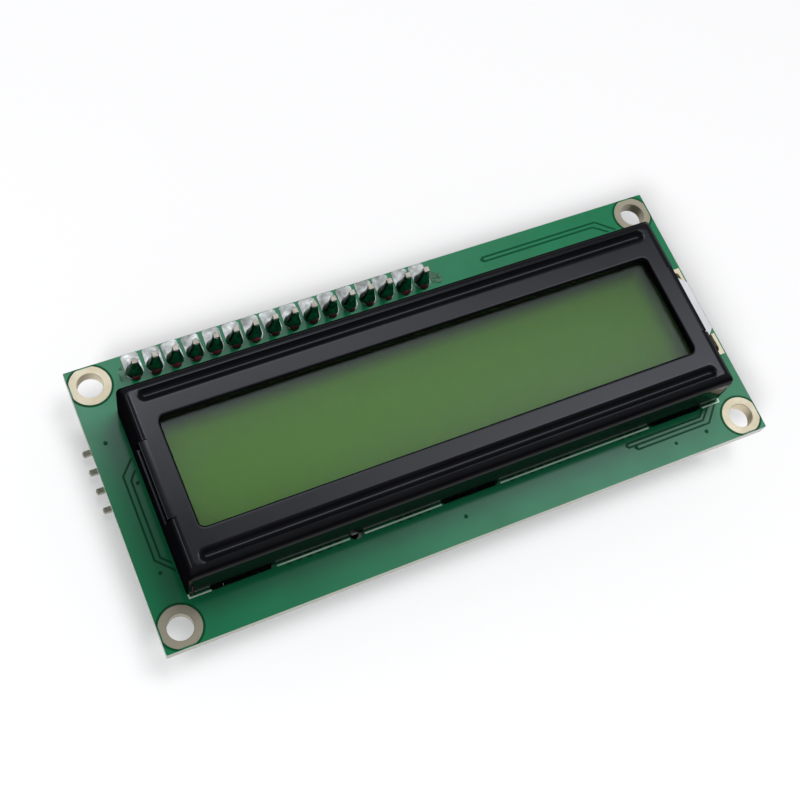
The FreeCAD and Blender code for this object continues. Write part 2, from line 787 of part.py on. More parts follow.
def trimmer():
    """Single-turn contrast trimmer: moulded body, turning rotor and three pins."""
    z1 = adapter_back - trimmer_foot
    z0 = z1 - trimmer_height
    body = rounded_block(trimmer_x, trimmer_y, trimmer_side, trimmer_side, z0, z1, trimmer_corner)
    inset = trimmer_side / 2 - trimmer_foot_inset
    feet = [centred(trimmer_x + sx * inset, trimmer_y + sy * inset, trimmer_foot_side, trimmer_foot_side,
                    z1, adapter_back) for sx in (-1, 1) for sy in (-1, 1)]
    spigot = rotor_spigot_diameter / 2
    spigot_end = z0 + rotor_depth + rotor_spigot_length
    bore = rod(trimmer_x, trimmer_y, rotor_diameter / 2 + rotor_gap, z0 - past, z0 + rotor_depth)
    seat = rod(trimmer_x, trimmer_y, spigot + rotor_gap, z0, spigot_end + rotor_gap)
    body = joined([body] + feet).cut([bore, seat])
    face = z0 + rotor_gap
    head = rod(trimmer_x, trimmer_y, rotor_diameter / 2, face, z0 + rotor_depth - rotor_gap)
    rotor = joined([head, rod(trimmer_x, trimmer_y, spigot, face, spigot_end)])
    cross = [centred(trimmer_x, trimmer_y, length, width, face - past, face + rotor_slot_depth)
             for length, width in ((rotor_slot_length, rotor_slot_width),
                                   (rotor_slot_width, rotor_slot_length))]
    pins = [prism(x, y, trimmer_pin_diameter / 2, pin_sides, z1, adapter_top + trimmer_pin_tail)
            for x, y in trimmer_centres]
    save("trimmer_body", body)
    save("trimmer_rotor", rotor.cut(cross))
    save("trimmer_pins", pins)


def address_pads():
    """Pairs of open solder pads that set the bus address."""
    pads = []
    for i in range(address_count):
        x = chip_x + (i - (address_count - 1) / 2) * address_pitch
        for side in (-1, 1):
            y = adapter_y0 + address_from_front + side * address_pair_pitch / 2
            pads.append(centred(x, y, address_length, address_depth, adapter_back - copper, adapter_back))
    return pads


def small_parts():
    """Chip resistors and capacitors on both boards."""
    light_x = board_x1 - light_resistor_from_side
    rear_resistors = [(row_resistor_x + row_resistor_pitch * i, row_resistor_y, True)
                      for i in range(row_resistor_count)]
    rear_resistors += [(light_x, light_resistor_y + light_resistor_pitch * i, False) for i in range(2)]
    rear_capacitors = [(rear_capacitor_x + rear_capacitor_pitch * i, rear_capacitor_y, True)
                       for i in range(2)]
    pullup_x = adapter_x0 + pullup_from_left
    pullup_y = adapter_y0 + pullup_from_front
    filter_x = trimmer_x - filter_to_trimmer
    filter_y = adapter_y0 + filter_from_front
    resistors = [(pullup_x, pullup_y, True), (pullup_x, pullup_y + pullup_pitch, True),
                 (filter_x, filter_y, True),
                 (adapter_x1 - lamp_resistor_from_right, adapter_y0 + lamp_resistor_from_front, False)]
    capacitors = [(filter_x, filter_y + filter_pitch, True),
                  (indicator_x + indicator_to_capacitor, indicator_y, False)]
    chip_parts("board_resistor", rear_resistors, board_back, resistor_height)
    chip_parts("board_capacitor", rear_capacitors, board_back, capacitor_height)
    chip_parts("adapter_resistor", resistors, adapter_back, resistor_height)
    chip_parts("adapter_capacitor", capacitors, adapter_back, capacitor_height)


save("main_board", main_board())
save("mounting_pads", mounting_pads())
save("header_pads", header_pads())
save("backlight_pads", backlight_pads())
save("metal_bezel", metal_bezel())
display_stack()
backlight()
save("driver_cover_left", chip_cover(cover_left_x))
save("driver_cover_right", chip_cover(cover_right_x))
small_parts()
header()
save("adapter_board", adapter_board())
expander_chip()
trimmer()
bent_header("bus", bus_centres, -1)
jumper_start, jumper_metal = bent_header("jumper", jumper_centres, 1)
jumper_cap(jumper_start, jumper_metal)
indicator()
transistor(adapter_x1 - transistor_from_right, adapter_y0 + transistor_from_front)
save("address_pads", address_pads())
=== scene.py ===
"""Looks of a character display module: its finishes, fine shapes, floor, light and camera.

Lengths are in millimetres until a mesh is made, and the model's own frame is in metres.
"""
import logging
import random
from dataclasses import dataclass
from enum import Enum
from math import cos, hypot, pi, radians, sin

import bmesh
import bpy
from mathutils import Matrix, Vector


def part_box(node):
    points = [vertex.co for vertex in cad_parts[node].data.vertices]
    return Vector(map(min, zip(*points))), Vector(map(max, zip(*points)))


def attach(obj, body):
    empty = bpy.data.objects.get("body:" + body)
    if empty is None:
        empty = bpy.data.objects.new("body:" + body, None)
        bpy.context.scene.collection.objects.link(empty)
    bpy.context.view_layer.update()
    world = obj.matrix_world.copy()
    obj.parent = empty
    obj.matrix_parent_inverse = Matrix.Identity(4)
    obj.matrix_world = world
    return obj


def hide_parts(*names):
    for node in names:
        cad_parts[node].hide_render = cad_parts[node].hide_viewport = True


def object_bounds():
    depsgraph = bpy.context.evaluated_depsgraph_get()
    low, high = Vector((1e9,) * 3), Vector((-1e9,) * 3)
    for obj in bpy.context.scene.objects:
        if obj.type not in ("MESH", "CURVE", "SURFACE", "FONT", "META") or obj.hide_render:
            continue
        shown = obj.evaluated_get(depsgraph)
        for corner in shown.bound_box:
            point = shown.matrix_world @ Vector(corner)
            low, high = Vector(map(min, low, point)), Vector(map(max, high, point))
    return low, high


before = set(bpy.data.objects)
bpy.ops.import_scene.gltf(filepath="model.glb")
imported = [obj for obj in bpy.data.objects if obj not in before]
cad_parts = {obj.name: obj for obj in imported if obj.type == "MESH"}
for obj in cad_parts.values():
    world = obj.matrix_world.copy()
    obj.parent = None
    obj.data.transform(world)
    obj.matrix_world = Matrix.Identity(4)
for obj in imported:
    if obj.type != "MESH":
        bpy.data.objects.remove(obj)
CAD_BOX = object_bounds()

MM = 0.001
HEADER_PINS = 16
ADAPTER_PINS = {"bus": 4, "jumper": 2}
PIN_PITCH = 2.54
HOLE_STEPS = 96
LAND_STEPS = 32
LOG = logging.getLogger("display_module")

Point = tuple[float, float]
Loop = list[Point]
Piece = bpy.types.Object
Tree = bpy.types.NodeTree
Socket = bpy.types.NodeSocket


class Body(Enum):
    """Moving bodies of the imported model."""

    MODULE = "module"
    ROTOR = "contrast_rotor"


def node_box(name: str) -> tuple[Vector, Vector]:
    """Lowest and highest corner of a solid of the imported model, in millimetres."""
    low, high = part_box(name)
    return low / MM, high / MM


def linear(colour: str) -> tuple[float, float, float, float]:
    """Turn an sRGB hex colour into linear light.

    Args:
        colour: A value such as "#2F8055".

    Returns:
        Red, green, blue and an alpha of one.
    """
    values = [int(colour[i:i + 2], 16) / 255 for i in (1, 3, 5)]
    red, green, blue = (v / 12.92 if v <= 0.04045 else ((v + 0.055) / 1.055) ** 2.4 for v in values)
    return red, green, blue, 1.0


def add(tree: Tree, kind: str, links: dict | None = None, values: dict | None = None,
        **settings: object) -> bpy.types.Node:
    """Add one node with its settings, values and incoming links.

    Args:
        tree: The tree that gets the node.
        kind: The node's type name, without ShaderNode where it is a shader's.
        links: Input name or number to the socket that feeds it, or to a node for its first output.
        values: Input name or number to its value.
        settings: Properties of the node itself.

    Returns:
        The new node.
    """
    node = tree.nodes.new(kind if "Node" in kind else "ShaderNode" + kind)
    for key, value in settings.items():
        setattr(node, key, value)
    for key, value in (values or {}).items():
        node.inputs[key].default_value = value
    for key, source in (links or {}).items():
        tree.links.new(source.outputs[0] if isinstance(source, bpy.types.Node) else source, node.inputs[key])
    return node


@dataclass(frozen=True)
class Ground:
    """What a colour is built on: a material's tree, object coordinates and slow patches from zero to one."""

    tree: Tree
    place: Socket
    patches: Socket


@dataclass(frozen=True)
class Finish:
    """A real surface: its colours, gloss and fine relief.

    Patches of the second colour drift over the first, and a finer grain gives relief.
    """

    name: str
    slot: str
    colour: str
    second: str
    roughness: float
    spread: float = 0.06
    metallic: float = 0.0
    patch: float = 4.0
    grain: float = 0.25
    relief: float = 0.004
    specular: float = 0.5
    ior: float = 1.5
    alpha: float = 1.0

    def tone(self, ground: Ground) -> Socket:
        """Mix the two colours by the slow patches."""
        return add(ground.tree, "Mix", {0: ground.patches}, {6: linear(self.colour), 7: linear(self.second)},
                   data_type="RGBA").outputs[2]

    def material(self) -> bpy.types.Material:
        """Make the material once, or return the one made before.

        Returns:
            The material.
        """
        ready = bpy.data.materials.get(self.name)
        if ready:
            return ready
        made = bpy.data.materials.new(self.name)
        made.use_nodes = True
        tree = made.node_tree
        shader = tree.nodes["Principled BSDF"]
        place = add(tree, "TexCoord").outputs["Object"]
        slow = add(tree, "TexNoise", {"Vector": place},
                   {"Scale": 1 / (self.patch * MM), "Detail": 3.0, "Roughness": 0.6})
        patches = add(tree, "MapRange", {0: slow}, {1: 0.32, 2: 0.68}).outputs[0]
        gloss = add(tree, "MapRange", {0: patches},
                    {3: self.roughness - self.spread, 4: self.roughness + self.spread})
        grain = add(tree, "TexNoise", {"Vector": place}, {"Scale": 1 / (self.grain * MM), "Detail": 2.0})
        bump = add(tree, "Bump", {"Height": grain}, {"Strength": 1.0, "Distance": self.relief * MM})
        for label, socket in (("Base Color", self.tone(Ground(tree, place, patches))),
                              ("Roughness", gloss.outputs[0]), ("Normal", bump.outputs[0])):
            tree.links.new(socket, shader.inputs[label])
        for label, value in (("Metallic", self.metallic), ("Specular IOR Level", self.specular),
                             ("IOR", self.ior), ("Alpha", self.alpha)):
            shader.inputs[label].default_value = value
        return made


@dataclass(frozen=True)
class BoardFinish(Finish):
    """Solder mask on both faces of a board, with the sawn laminate showing on its edges and painted shade on the
    walls of holes within its reach.
    """

    edge: str = "#98997F"
    edge_second: str = "#74775F"
    # Painted shade on the walls of holes and slots
    inner: str = "#1C2416"
    reach: tuple = (0.0, 0.0)
    ply: float = 0.2

    def tone(self, ground: Ground) -> Socket:
        """Mask on level faces, pale plies on the outer edge, and a dark colour painted as shade on the walls inside
        holes and slots.

        Args:
            ground: What the colour is built on.

        Returns:
            The colour socket.
        """
        tree = ground.tree
        mask = super().tone(ground)
        plies = add(tree, "TexWave", {"Vector": ground.place},
                    {"Scale": 1 / (self.ply * MM * 2 * pi), "Distortion": 1.5}, bands_direction="Z")
        wood = add(tree, "Mix", {0: plies.outputs[1]},
                   {6: linear(self.edge), 7: linear(self.edge_second)}, data_type="RGBA")
        parts = add(tree, "SeparateXYZ", {0: ground.place})
        past = []
        for axis, reach in enumerate(self.reach):
            away = add(tree, "Math", {0: parts.outputs[axis]}, operation="ABSOLUTE")
            past.append(add(tree, "Math", {0: away}, {1: (reach - 0.05) * MM},
                            operation="GREATER_THAN").outputs[0])
        outer = add(tree, "Math", {0: past[0], 1: past[1]}, operation="MAXIMUM")
        # Walls inside the reach get the painted shade colour instead of the plies
        walls = add(tree, "Mix", {0: outer, 7: wood.outputs[2]}, {6: linear(self.inner)}, data_type="RGBA")
        facing = add(tree, "SeparateXYZ", {0: add(tree, "NewGeometry").outputs["True Normal"]})
        level = add(tree, "Math", {0: facing.outputs[2]}, operation="ABSOLUTE")
        flat = add(tree, "Math", {0: level}, {1: 0.5}, operation="GREATER_THAN")
        both = add(tree, "Mix", {0: flat, 6: walls.outputs[2], 7: mask}, data_type="RGBA")
        return both.outputs[2]


@dataclass(frozen=True)
class EnamelFinish(Finish):
    """Black enamel whose gloss follows which way a face points: full on level metal, low on the front wall, none on
    the others, as painted shade.
    """

    wall_specular: float = 0.0
    front_specular: float = 0.12
    level_ramp: Point = (0.78, 0.97)
    front_ramp: Point = (-0.9, -0.6)

    def material(self) -> bpy.types.Material:
        """Make the material and fade its gloss towards the walls.

        Returns:
            The material.
        """
        made = super().material()
        tree = made.node_tree
        gloss = tree.nodes["Principled BSDF"].inputs["Specular IOR Level"]
        if not gloss.is_linked:
            # Painted shade: gloss is set by the world-facing normal, so the walls do not reflect their lit
            # surroundings
            facing = add(tree, "SeparateXYZ", {0: add(tree, "NewGeometry").outputs["Normal"]})
            level = add(tree, "MapRange", {0: facing.outputs[2]},
                        {1: self.level_ramp[0], 2: self.level_ramp[1], 3: self.wall_specular, 4: self.specular})
            front = add(tree, "MapRange", {0: facing.outputs[1]},
                        {1: self.front_ramp[0], 2: self.front_ramp[1], 3: self.front_specular,
                         4: self.wall_specular})
            most = add(tree, "Math", {0: level, 1: front}, operation="MAXIMUM")
            tree.links.new(most.outputs[0], gloss)
        return made


@dataclass(frozen=True)
class FilmFinish(Finish):
    """Coloured film whose rear and right margins are darkened by painted shade, standing in for the bezel's shadow.
    """

    # Colour of the painted shade and the spans it fades over, in object millimetres
    shade: str = "#10160C"
    rear: tuple = (4.4, 7.6)
    right: tuple = (30.2, 34.0)

    def tone(self, ground: Ground) -> Socket:
        """Even colour with painted shade towards the window's rear and right edges.

        Args:
            ground: What the colour is built on.

        Returns:
            The colour socket.
        """
        tree = ground.tree
        film = super().tone(ground)
        parts = add(tree, "SeparateXYZ", {0: ground.place})
        margins = [add(tree, "MapRange", {0: parts.outputs[axis]}, {1: start * MM, 2: end * MM},
                       interpolation_type="SMOOTHSTEP").outputs[0]
                   for axis, (start, end) in ((1, self.rear), (0, self.right))]
        # Painted shade: the film darkens towards its rear and right edges
        margin = add(tree, "Math", {0: margins[0], 1: margins[1]}, operation="MAXIMUM")
        both = add(tree, "Mix", {0: margin, 6: film}, {7: linear(self.shade)}, data_type="RGBA")
        return both.outputs[2]


@dataclass(frozen=True)
class LandFinish(Finish):
    """Plated copper, greyer at two opposite corners of the board."""

    grey: str = "#A39C88"
    area: float = 60.0
    corner: float = 10.0

    def tone(self, ground: Ground) -> Socket:
        """Warm plating that turns grey at the corners where both coordinates share a sign.

        Args:
            ground: What the colour is built on.

        Returns:
            The colour socket.
        """
        tree = ground.tree
        warm = super().tone(ground)
        parts = add(tree, "SeparateXYZ", {0: ground.place})
        product = add(tree, "Math", {0: parts, 1: parts.outputs[1]}, operation="MULTIPLY")
        area = self.area * MM * MM
        share = add(tree, "MapRange", {0: product}, {1: -area, 2: area})
        across = add(tree, "Math", {0: parts.outputs[1]}, operation="ABSOLUTE")
        corner = add(tree, "Math", {0: across}, {1: self.corner * MM}, operation="GREATER_THAN")
        greyed = add(tree, "Math", {0: share, 1: corner}, operation="MULTIPLY")
        both = add(tree, "Mix", {0: greyed, 6: warm}, {7: linear(self.grey)}, data_type="RGBA")
        return both.outputs[2]


# Photo-imaged solder mask, screen-coated and cured: smooth green gloss over copper
MASK = BoardFinish("green_solder_mask", "soldermask_board", "#127049", "#0F6741", 0.13, 0.03,
                   patch=9.0, grain=0.5, relief=0.002, reach=(40.0, 18.0))
# The same mask where the copper is etched away: darker, because the laminate shows through
CLEARANCE = Finish("mask_over_bare_laminate", "soldermask_board", "#0C4D2E", "#0B4629", 0.2, 0.03,
                   grain=0.5, relief=0.002, specular=0.08)
# Epoxy legend ink, screen-printed: matt greenish white with soft edges
INK = Finish("legend_ink", "soldermask_board", "#D9EBDC", "#B9D6C0", 0.6, 0.08, patch=1.5)
# Burnt flux at the foot of each joint: glassy red-brown resin, some drops nearly black
FLUX = Finish("burnt_flux", "solder", "#6E2C36", "#2A1416", 0.3, 0.08, patch=2.2, grain=0.3, relief=0.02)
# Flux residue dried on the board: thin clear resin with grey edges
RESIDUE = Finish("flux_residue", "soldermask_board", "#9CC0A8", "#2A6B48", 0.3, 0.1, patch=0.6,
                 grain=0.45, relief=0.09, alpha=0.3)
# Immersion-tinned copper: warm, half dulled by its oxide, with handling marks
PLATING = LandFinish("tinned_copper_land", "plated_pads", "#EADFC4", "#E2D5B6", 0.36, 0.04, 0.5,
                     patch=3.0, grain=0.3, relief=0.002)
# Tin-lead solder, frozen round the pins: mottled, its dark greenish patches a painted reflection of the shaded
# board and bezel
SOLDER = Finish("joint_solder", "solder", "#8E928E", "#3A403C", 0.2, 0.08, 1.0,
                patch=0.7, grain=0.45, relief=0.06)
# The same solder where it has wetted a land and drawn out flat: silver, slightly wavy
WETTED = Finish("wetted_land", "solder", "#D6D6CE", "#9A9C94", 0.3, 0.08, 1.0, patch=1.3,
                grain=0.7, relief=0.03)
# Cut and tinned pin
PIN = Finish("tinned_pin", "pin_brass", "#C4BFB2", "#A8A396", 0.4, 0.06, 0.35, patch=1.0,
             grain=0.1, relief=0.003)
# Lead of the lamp chips, given a dark olive colour as painted shade where it passes through the board
SHADED_LEAD = Finish("greyed_lead", "tinned_metal", "#5C5D4A", "#3C3D30", 0.45, 0.06, 0.5, patch=0.6,
              grain=0.1, relief=0.004)
# Tin plate on leads and caps of small parts
TIN = Finish("tin_plate", "tinned_metal", "#CFCFCC", "#B2B2AE", 0.3, 0.08, 1.0, patch=0.5,
             grain=0.1, relief=0.003)
# Black stoving enamel on pressed steel: smooth satin gloss with a trace of orange peel
ENAMEL = EnamelFinish("black_stoving_enamel", "bezel_paint", "#0A0A0D", "#0D0D10", 0.15, 0.02,
                      patch=6.0, grain=0.9, relief=0.001, specular=0.65)
# Yellow-green reflecting film behind the crystal, with painted shade along its rear and right margins
REAR_FILM = FilmFinish("yellow_green_film", "rear_film", "#8CEE10", "#88E90C", 0.5, 0.05, patch=20.0)
# Front polarizer with an anti-glare surface: a thin grey-green veil
FRONT_FILM = Finish("anti_glare_film", "front_film", "#141A10", "#181E14", 0.2, 0.02, patch=25.0,
                    grain=0.08, relief=0.001, specular=1.0, ior=2.1, alpha=0.15)
# Soda-lime glass, seen through the film
GLASS = Finish("float_glass", "display_glass", "#7FA088", "#7A9A82", 0.1, 0.02, patch=20.0, alpha=0.01)
# White polyester film
WHITE_FILM = Finish("white_film", "white_film", "#E6E8E4", "#DDE0DA", 0.5)
# Cast acrylic light guide
ACRYLIC = Finish("acrylic_guide", "guide_acrylic", "#CFE0B8", "#C4D8AC", 0.2, 0.04, alpha=0.85)
# Striped silicone contact strip
RUBBER = Finish("contact_rubber", "contact_rubber", "#6A5F5C", "#4C4443", 0.7, 0.05, patch=0.5)
# White ABS, moulded with a slight sheen
WHITE_ABS = Finish("white_abs", "white_moulding", "#CFD0D4", "#C7C8CD", 0.38, 0.05, patch=3.0,
                   grain=0.2, relief=0.004)
# Clear epoxy over a yellow die
LED_EPOXY = Finish("led_epoxy", "led_resin", "#D8D27A", "#C8C065", 0.2, 0.05)
# Poured black epoxy, glossy and slightly uneven
COVER = Finish("poured_epoxy", "cover_resin", "#0C0C0D", "#121213", 0.16, 0.05, patch=3.0,
               grain=1.8, relief=0.03)
# Black glaze over a thick-film resistor
GLAZE = Finish("resistor_glaze", "resistor_glaze", "#111214", "#1B1C20", 0.22, 0.06, patch=0.5)
# Dark sheet set in the gap between a slot and the bezel's wall: painted shade where the floor would show through
PAINTED_SLOT_SHADE = Finish("slot_lacquer", "bezel_paint", "#1A2A20", "#0E1611", 0.3, 0.08, patch=1.2, grain=0.4,
                 relief=0.02)
# Rust in the open seam of the bezel's corner
RUST = Finish("seam_rust", "bezel_paint", "#7A3A38", "#4A2220", 0.7, 0.1, patch=0.5, grain=0.1, relief=0.01)
# Fired barium titanate, dull tan
CERAMIC = Finish("fired_ceramic", "capacitor_ceramic", "#8E7658", "#7D674B", 0.5, patch=0.6,
                 grain=0.08, relief=0.006)
# Glass-filled black PBT with a moulded grain
BLACK_PBT = Finish("black_pbt", "black_moulding", "#131314", "#1C1C1E", 0.48, 0.06, patch=1.5,
                   grain=0.12, relief=0.008)
# Transfer-moulded chip resin, matt from its tool
CHIP_RESIN = Finish("chip_resin", "chip_resin", "#1B1C1E", "#232427", 0.55, 0.05, patch=1.2,
                    grain=0.07, relief=0.006)
# Blue nylon of the trimmer
BLUE_NYLON = Finish("blue_nylon", "trimmer_moulding", "#1E55B4", "#194A9E", 0.32, 0.05, patch=2.0,
                    grain=0.15, relief=0.006)
# White nylon of its rotor
WHITE_NYLON = Finish("white_nylon", "rotor_moulding", "#DAD9D0", "#CDCBBF", 0.45, 0.05, patch=0.8,
                     grain=0.1, relief=0.006)
# Glossy black cap of the jumper
CAP_PBT = Finish("glossy_black_cap", "cap_moulding", "#121213", "#1A1A1C", 0.25, 0.05, patch=1.5)
# Black mask of the adapter board over brown laminate
ADAPTER_MASK = BoardFinish("black_solder_mask", "adapter_laminate", "#15181C", "#1A1E23", 0.24, 0.05,
                           patch=6.0, edge="#6E6A52", edge_second="#4E4B3A")
ADAPTER_TRACE = Finish("black_mask_over_copper", "adapter_laminate", "#23282E", "#1F242A", 0.24, 0.05)
ADAPTER_INK = Finish("adapter_legend_ink", "adapter_laminate", "#D9DCDC", "#C4C8C8", 0.55, 0.08)

DRESSED = {
    REAR_FILM: ["rear_polarizer"], FRONT_FILM: ["front_polarizer"], GLASS: ["rear_glass", "front_glass"],
    WHITE_FILM: ["reflector_sheet", "diffuser_sheet"], ACRYLIC: ["light_guide"],
    RUBBER: ["zebra_strip_front", "zebra_strip_rear"], WHITE_ABS: ["backlight_block", "power_led_base"],
    LED_EPOXY: ["backlight_leds", "power_led_lens"], SHADED_LEAD: ["backlight_leads"],
    TIN: ["board_resistor_ends", "board_capacitor_ends", "expander_leads",
          "adapter_resistor_ends", "adapter_capacitor_ends", "transistor_leads", "jumper_clip"],
    GLAZE: ["board_resistors", "adapter_resistors"], CERAMIC: ["board_capacitors", "adapter_capacitors"],
    PIN: ["header_pins", "bus_pins", "jumper_pins", "trimmer_pins"],
    BLACK_PBT: ["header_spacer", "bus_header_housing", "jumper_header_housing"], CAP_PBT: ["jumper_cap"],
    CHIP_RESIN: ["expander_chip", "transistor_body"], BLUE_NYLON: ["trimmer_body"],
    WHITE_NYLON: ["trimmer_rotor"], ADAPTER_MASK: ["adapter_board"],
    PLATING: ["address_pads", "backlight_pads"],
}


def smooth_by_angle(mesh: bpy.types.Mesh, degrees: float) -> None:
    """Shade a mesh smooth and keep its sharp edges sharp.

    Args:
        mesh: The mesh to shade.
        degrees: Edges that turn more than this stay sharp.
    """
    work = bmesh.new()
    work.from_mesh(mesh)
    limit = radians(degrees)
    for face in work.faces:
        face.smooth = True
    for edge in work.edges:
        edge.smooth = len(edge.link_faces) == 2 and edge.calc_face_angle(0.0) < limit
    work.to_mesh(mesh)
    work.free()


def new_object(name: str, data: bpy.types.ID) -> Piece:
    """Link an object for some data.

    Args:
        name: The object's name.
        data: Its mesh or curve.

    Returns:
        The object.
    """
    made = bpy.data.objects.new(name, data)
    bpy.context.scene.collection.objects.link(made)
    return made


def shell(name: str, points: list, faces: list) -> Piece:
    """Make a mesh object from points in millimetres.

    Args:
        name: The object's name.
        points: Its points.
        faces: Point numbers of each face, counter-clockwise from outside.

    Returns:
        The object.
    """
    mesh = bpy.data.meshes.new(name)
    mesh.from_pydata([Vector(p) * MM for p in points], [], faces)
    mesh.validate()
    return new_object(name, mesh)


def baked(piece: Piece) -> Piece:
    """Turn a piece's evaluated geometry into its plain mesh.

    Args:
        piece: A mesh or curve object with its modifiers.

    Returns:
        A mesh object of the same name with no modifiers.
    """
    bpy.context.view_layer.update()
    graph = bpy.context.evaluated_depsgraph_get()
    mesh = bpy.data.meshes.new_from_object(piece.evaluated_get(graph))
    name = piece.name
    bpy.data.objects.remove(piece)
    mesh.name = name
    return new_object(name, mesh)


def dress(piece: Piece, finish: Finish, *nodes: str, angle: float = 35.0, body: Body = Body.MODULE) -> None:
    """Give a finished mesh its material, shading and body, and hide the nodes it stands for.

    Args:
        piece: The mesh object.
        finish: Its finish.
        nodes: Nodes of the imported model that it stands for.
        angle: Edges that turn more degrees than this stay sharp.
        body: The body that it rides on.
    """
    if not piece.data.materials:
        piece.data.materials.append(finish.material())
    piece.data.materials[0] = finish.material()
    smooth_by_angle(piece.data, angle)
    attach(piece, body.value)
    if nodes:
        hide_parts(*nodes)
    LOG.info("%s: %d faces of %s", piece.name, len(piece.data.polygons), finish.name)


def outward(piece: Piece, weld: float = 0.0) -> Piece:
    """Turn the faces of a closed mesh outward, after points closer than the weld have become one.

    Args:
        piece: The mesh, which is changed.
        weld: Distance below which points join, or 0 to leave them.

    Returns:
        The same mesh.
    """
    work = bmesh.new()
    work.from_mesh(piece.data)
    if weld:
        bmesh.ops.remove_doubles(work, verts=work.verts, dist=weld * MM)
    bmesh.ops.recalc_face_normals(work, faces=work.faces)
    work.to_mesh(piece.data)
    work.free()
    return piece


def wall(rows: int, steps: int, closed: bool = False, flip: bool = False) -> list:
    """Faces between neighbouring rows of points.

    Args:
        rows: Number of rows.
        steps: Points in each row.
        closed: True where the last row meets the first.
        flip: True where the rows run clockwise as seen from the last one.

    Returns:
        Point numbers of each face.
    """
    faces = []
    for row in range(rows if closed else rows - 1):
        low = row * steps
        high = (row + 1) % rows * steps
        for i in range(steps):
            j = (i + 1) % steps
            face = (low + i, low + j, high + j, high + i)
            faces.append((face[1], face[0], face[3], face[2]) if flip else face)
    return faces


def drawn(name: str, paths: list[Loop], flat: bool, z: float = 0.0) -> bpy.types.Curve:
    """Curve through the points of each path, closed where it is flat.

    Args:
        name: The curve's name.
        paths: Points of each path in millimetres.
        flat: True for closed outlines with a fill, False for open paths.
        z: Height of the points.

    Returns:
        The curve.
    """
    curve = bpy.data.curves.new(name, "CURVE")
    curve.dimensions = "2D" if flat else "3D"
    for path in paths:
        spline = curve.splines.new("POLY")
        spline.points.add(len(path) - 1)
        for point, (x, y) in zip(spline.points, path):
            point.co = (x * MM, y * MM, z * MM, 1.0)
        spline.use_cyclic_u = flat
    return curve


def ring(x: float, y: float, radius: float, steps: int = 48) -> Loop:
    """Points of a circle."""
    return [(x + radius * cos(2 * pi * i / steps), y + radius * sin(2 * pi * i / steps)) for i in range(steps)]


def oblong(x: float, y: float, length: float, depth: float, radius: float, steps: int = 8) -> Loop:
    """Points of a rectangle with round corners.

    Args:
        x: Centre along the board.
        y: Centre across the board.
        length: Size along the board.
        depth: Size across the board.
        radius: Corner radius.
        steps: Straight runs in each corner.

    Returns:
        The points, counter-clockwise.
    """
    loop = []
    for quarter, (sx, sy) in enumerate(((1, 1), (-1, 1), (-1, -1), (1, -1))):
        cx = x + sx * (length / 2 - radius)
        cy = y + sy * (depth / 2 - radius)
        for i in range(steps + 1):
            angle = pi / 2 * (quarter + i / steps)
            loop.append((cx + radius * cos(angle), cy + radius * sin(angle)))
    return loop


def plate(name: str, loops: list[Loop], z0: float, z1: float) -> Piece:
    """Make a flat plate from an outline and the holes inside it.

    Args:
        name: The object's name.
        loops: The outline first, then each hole.
        z0: Lower face.
        z1: Upper face.

    Returns:
        The plate as a mesh object.
    """
    curve = drawn(name, loops, True)
    curve.fill_mode = "BOTH"
    curve.extrude = (z1 - z0) / 2 * MM
    made = baked(new_object(name, curve))
    made.data.transform(Matrix.Translation((0, 0, (z0 + z1) / 2 * MM)))
    return outward(made, 0.001)


def turned(name: str, profile: list[Point], x: float, y: float, steps: int = 48, closed: bool = False) -> Piece:
    """Turn a profile about an upright axis.

    Args:
        name: The object's name.
        profile: Radius and height of each point.
        x: Place of the axis along the board.
        y: Place of the axis across the board.
        steps: Flats round the axis.
        closed: True where the profile is a loop, as in a ring.

    Returns:
        The turned shape.
    """
    points = [(px, py, z) for radius, z in profile for px, py in ring(x, y, radius, steps)]
    rows = len(profile)
    faces = wall(rows, steps, closed)
    if not closed:
        faces += [tuple(reversed(range(steps))), tuple(range((rows - 1) * steps, rows * steps))]
    return outward(shell(name, points, faces))


def join(name: str, parts: list[Piece]) -> Piece:
    """Join loose meshes into one object.

    Args:
        name: The new object's name.
        parts: The mesh objects, which are used up.

    Returns:
        The joined object.
    """
    work = bmesh.new()
    for part in parts:
        work.from_mesh(part.data)
        bpy.data.objects.remove(part)
    mesh = bpy.data.meshes.new(name)
    work.to_mesh(mesh)
    work.free()
    return new_object(name, mesh)


class ShapeTree:
    """Geometry Nodes tree whose result becomes a plain, dressed mesh."""

    def __init__(self, name: str, inputs: dict[str, str]) -> None:
        """Open the tree with its named inputs and their kinds.

        Args:
            name: The tree's name.
            inputs: Each input's name and kind of socket.
        """
        self.tree = bpy.data.node_groups.new(name, "GeometryNodeTree")
        face = self.tree.interface
        kinds = {"Geometry": "Geometry"} | inputs | {"Finish": "Material"}
        self.inputs = {label: face.new_socket(label, in_out="INPUT", socket_type="NodeSocket" + kind).identifier
                       for label, kind in kinds.items()}
        face.new_socket("Geometry", in_out="OUTPUT", socket_type="NodeSocketGeometry")
        self.given = add(self.tree, "NodeGroupInput").outputs

    def close(self, geometry: bpy.types.Node) -> None:
        """Realize what a node gives, set its material and send it out.

        Args:
            geometry: The node whose first output is the shape.
        """
        real = add(self.tree, "GeometryNodeRealizeInstances", {"Geometry": geometry})
        add(self.tree, "NodeGroupOutput", {0: add(self.tree, "GeometryNodeSetMaterial", {
            "Geometry": real, "Material": self.given["Finish"]})})

    def bake(self, holder: Piece, **values: object) -> Piece:
        """Run the tree on an object with the values of its inputs, and keep the plain mesh.

        Args:
            holder: The object that the tree runs on.
            values: Value of each input by its name.

        Returns:
            The object with its plain mesh.
        """
        modifier = holder.modifiers.new("tree", "NODES")
        modifier.node_group = self.tree
        for label, value in values.items():
            modifier[self.inputs[label]] = value
        return baked(holder)


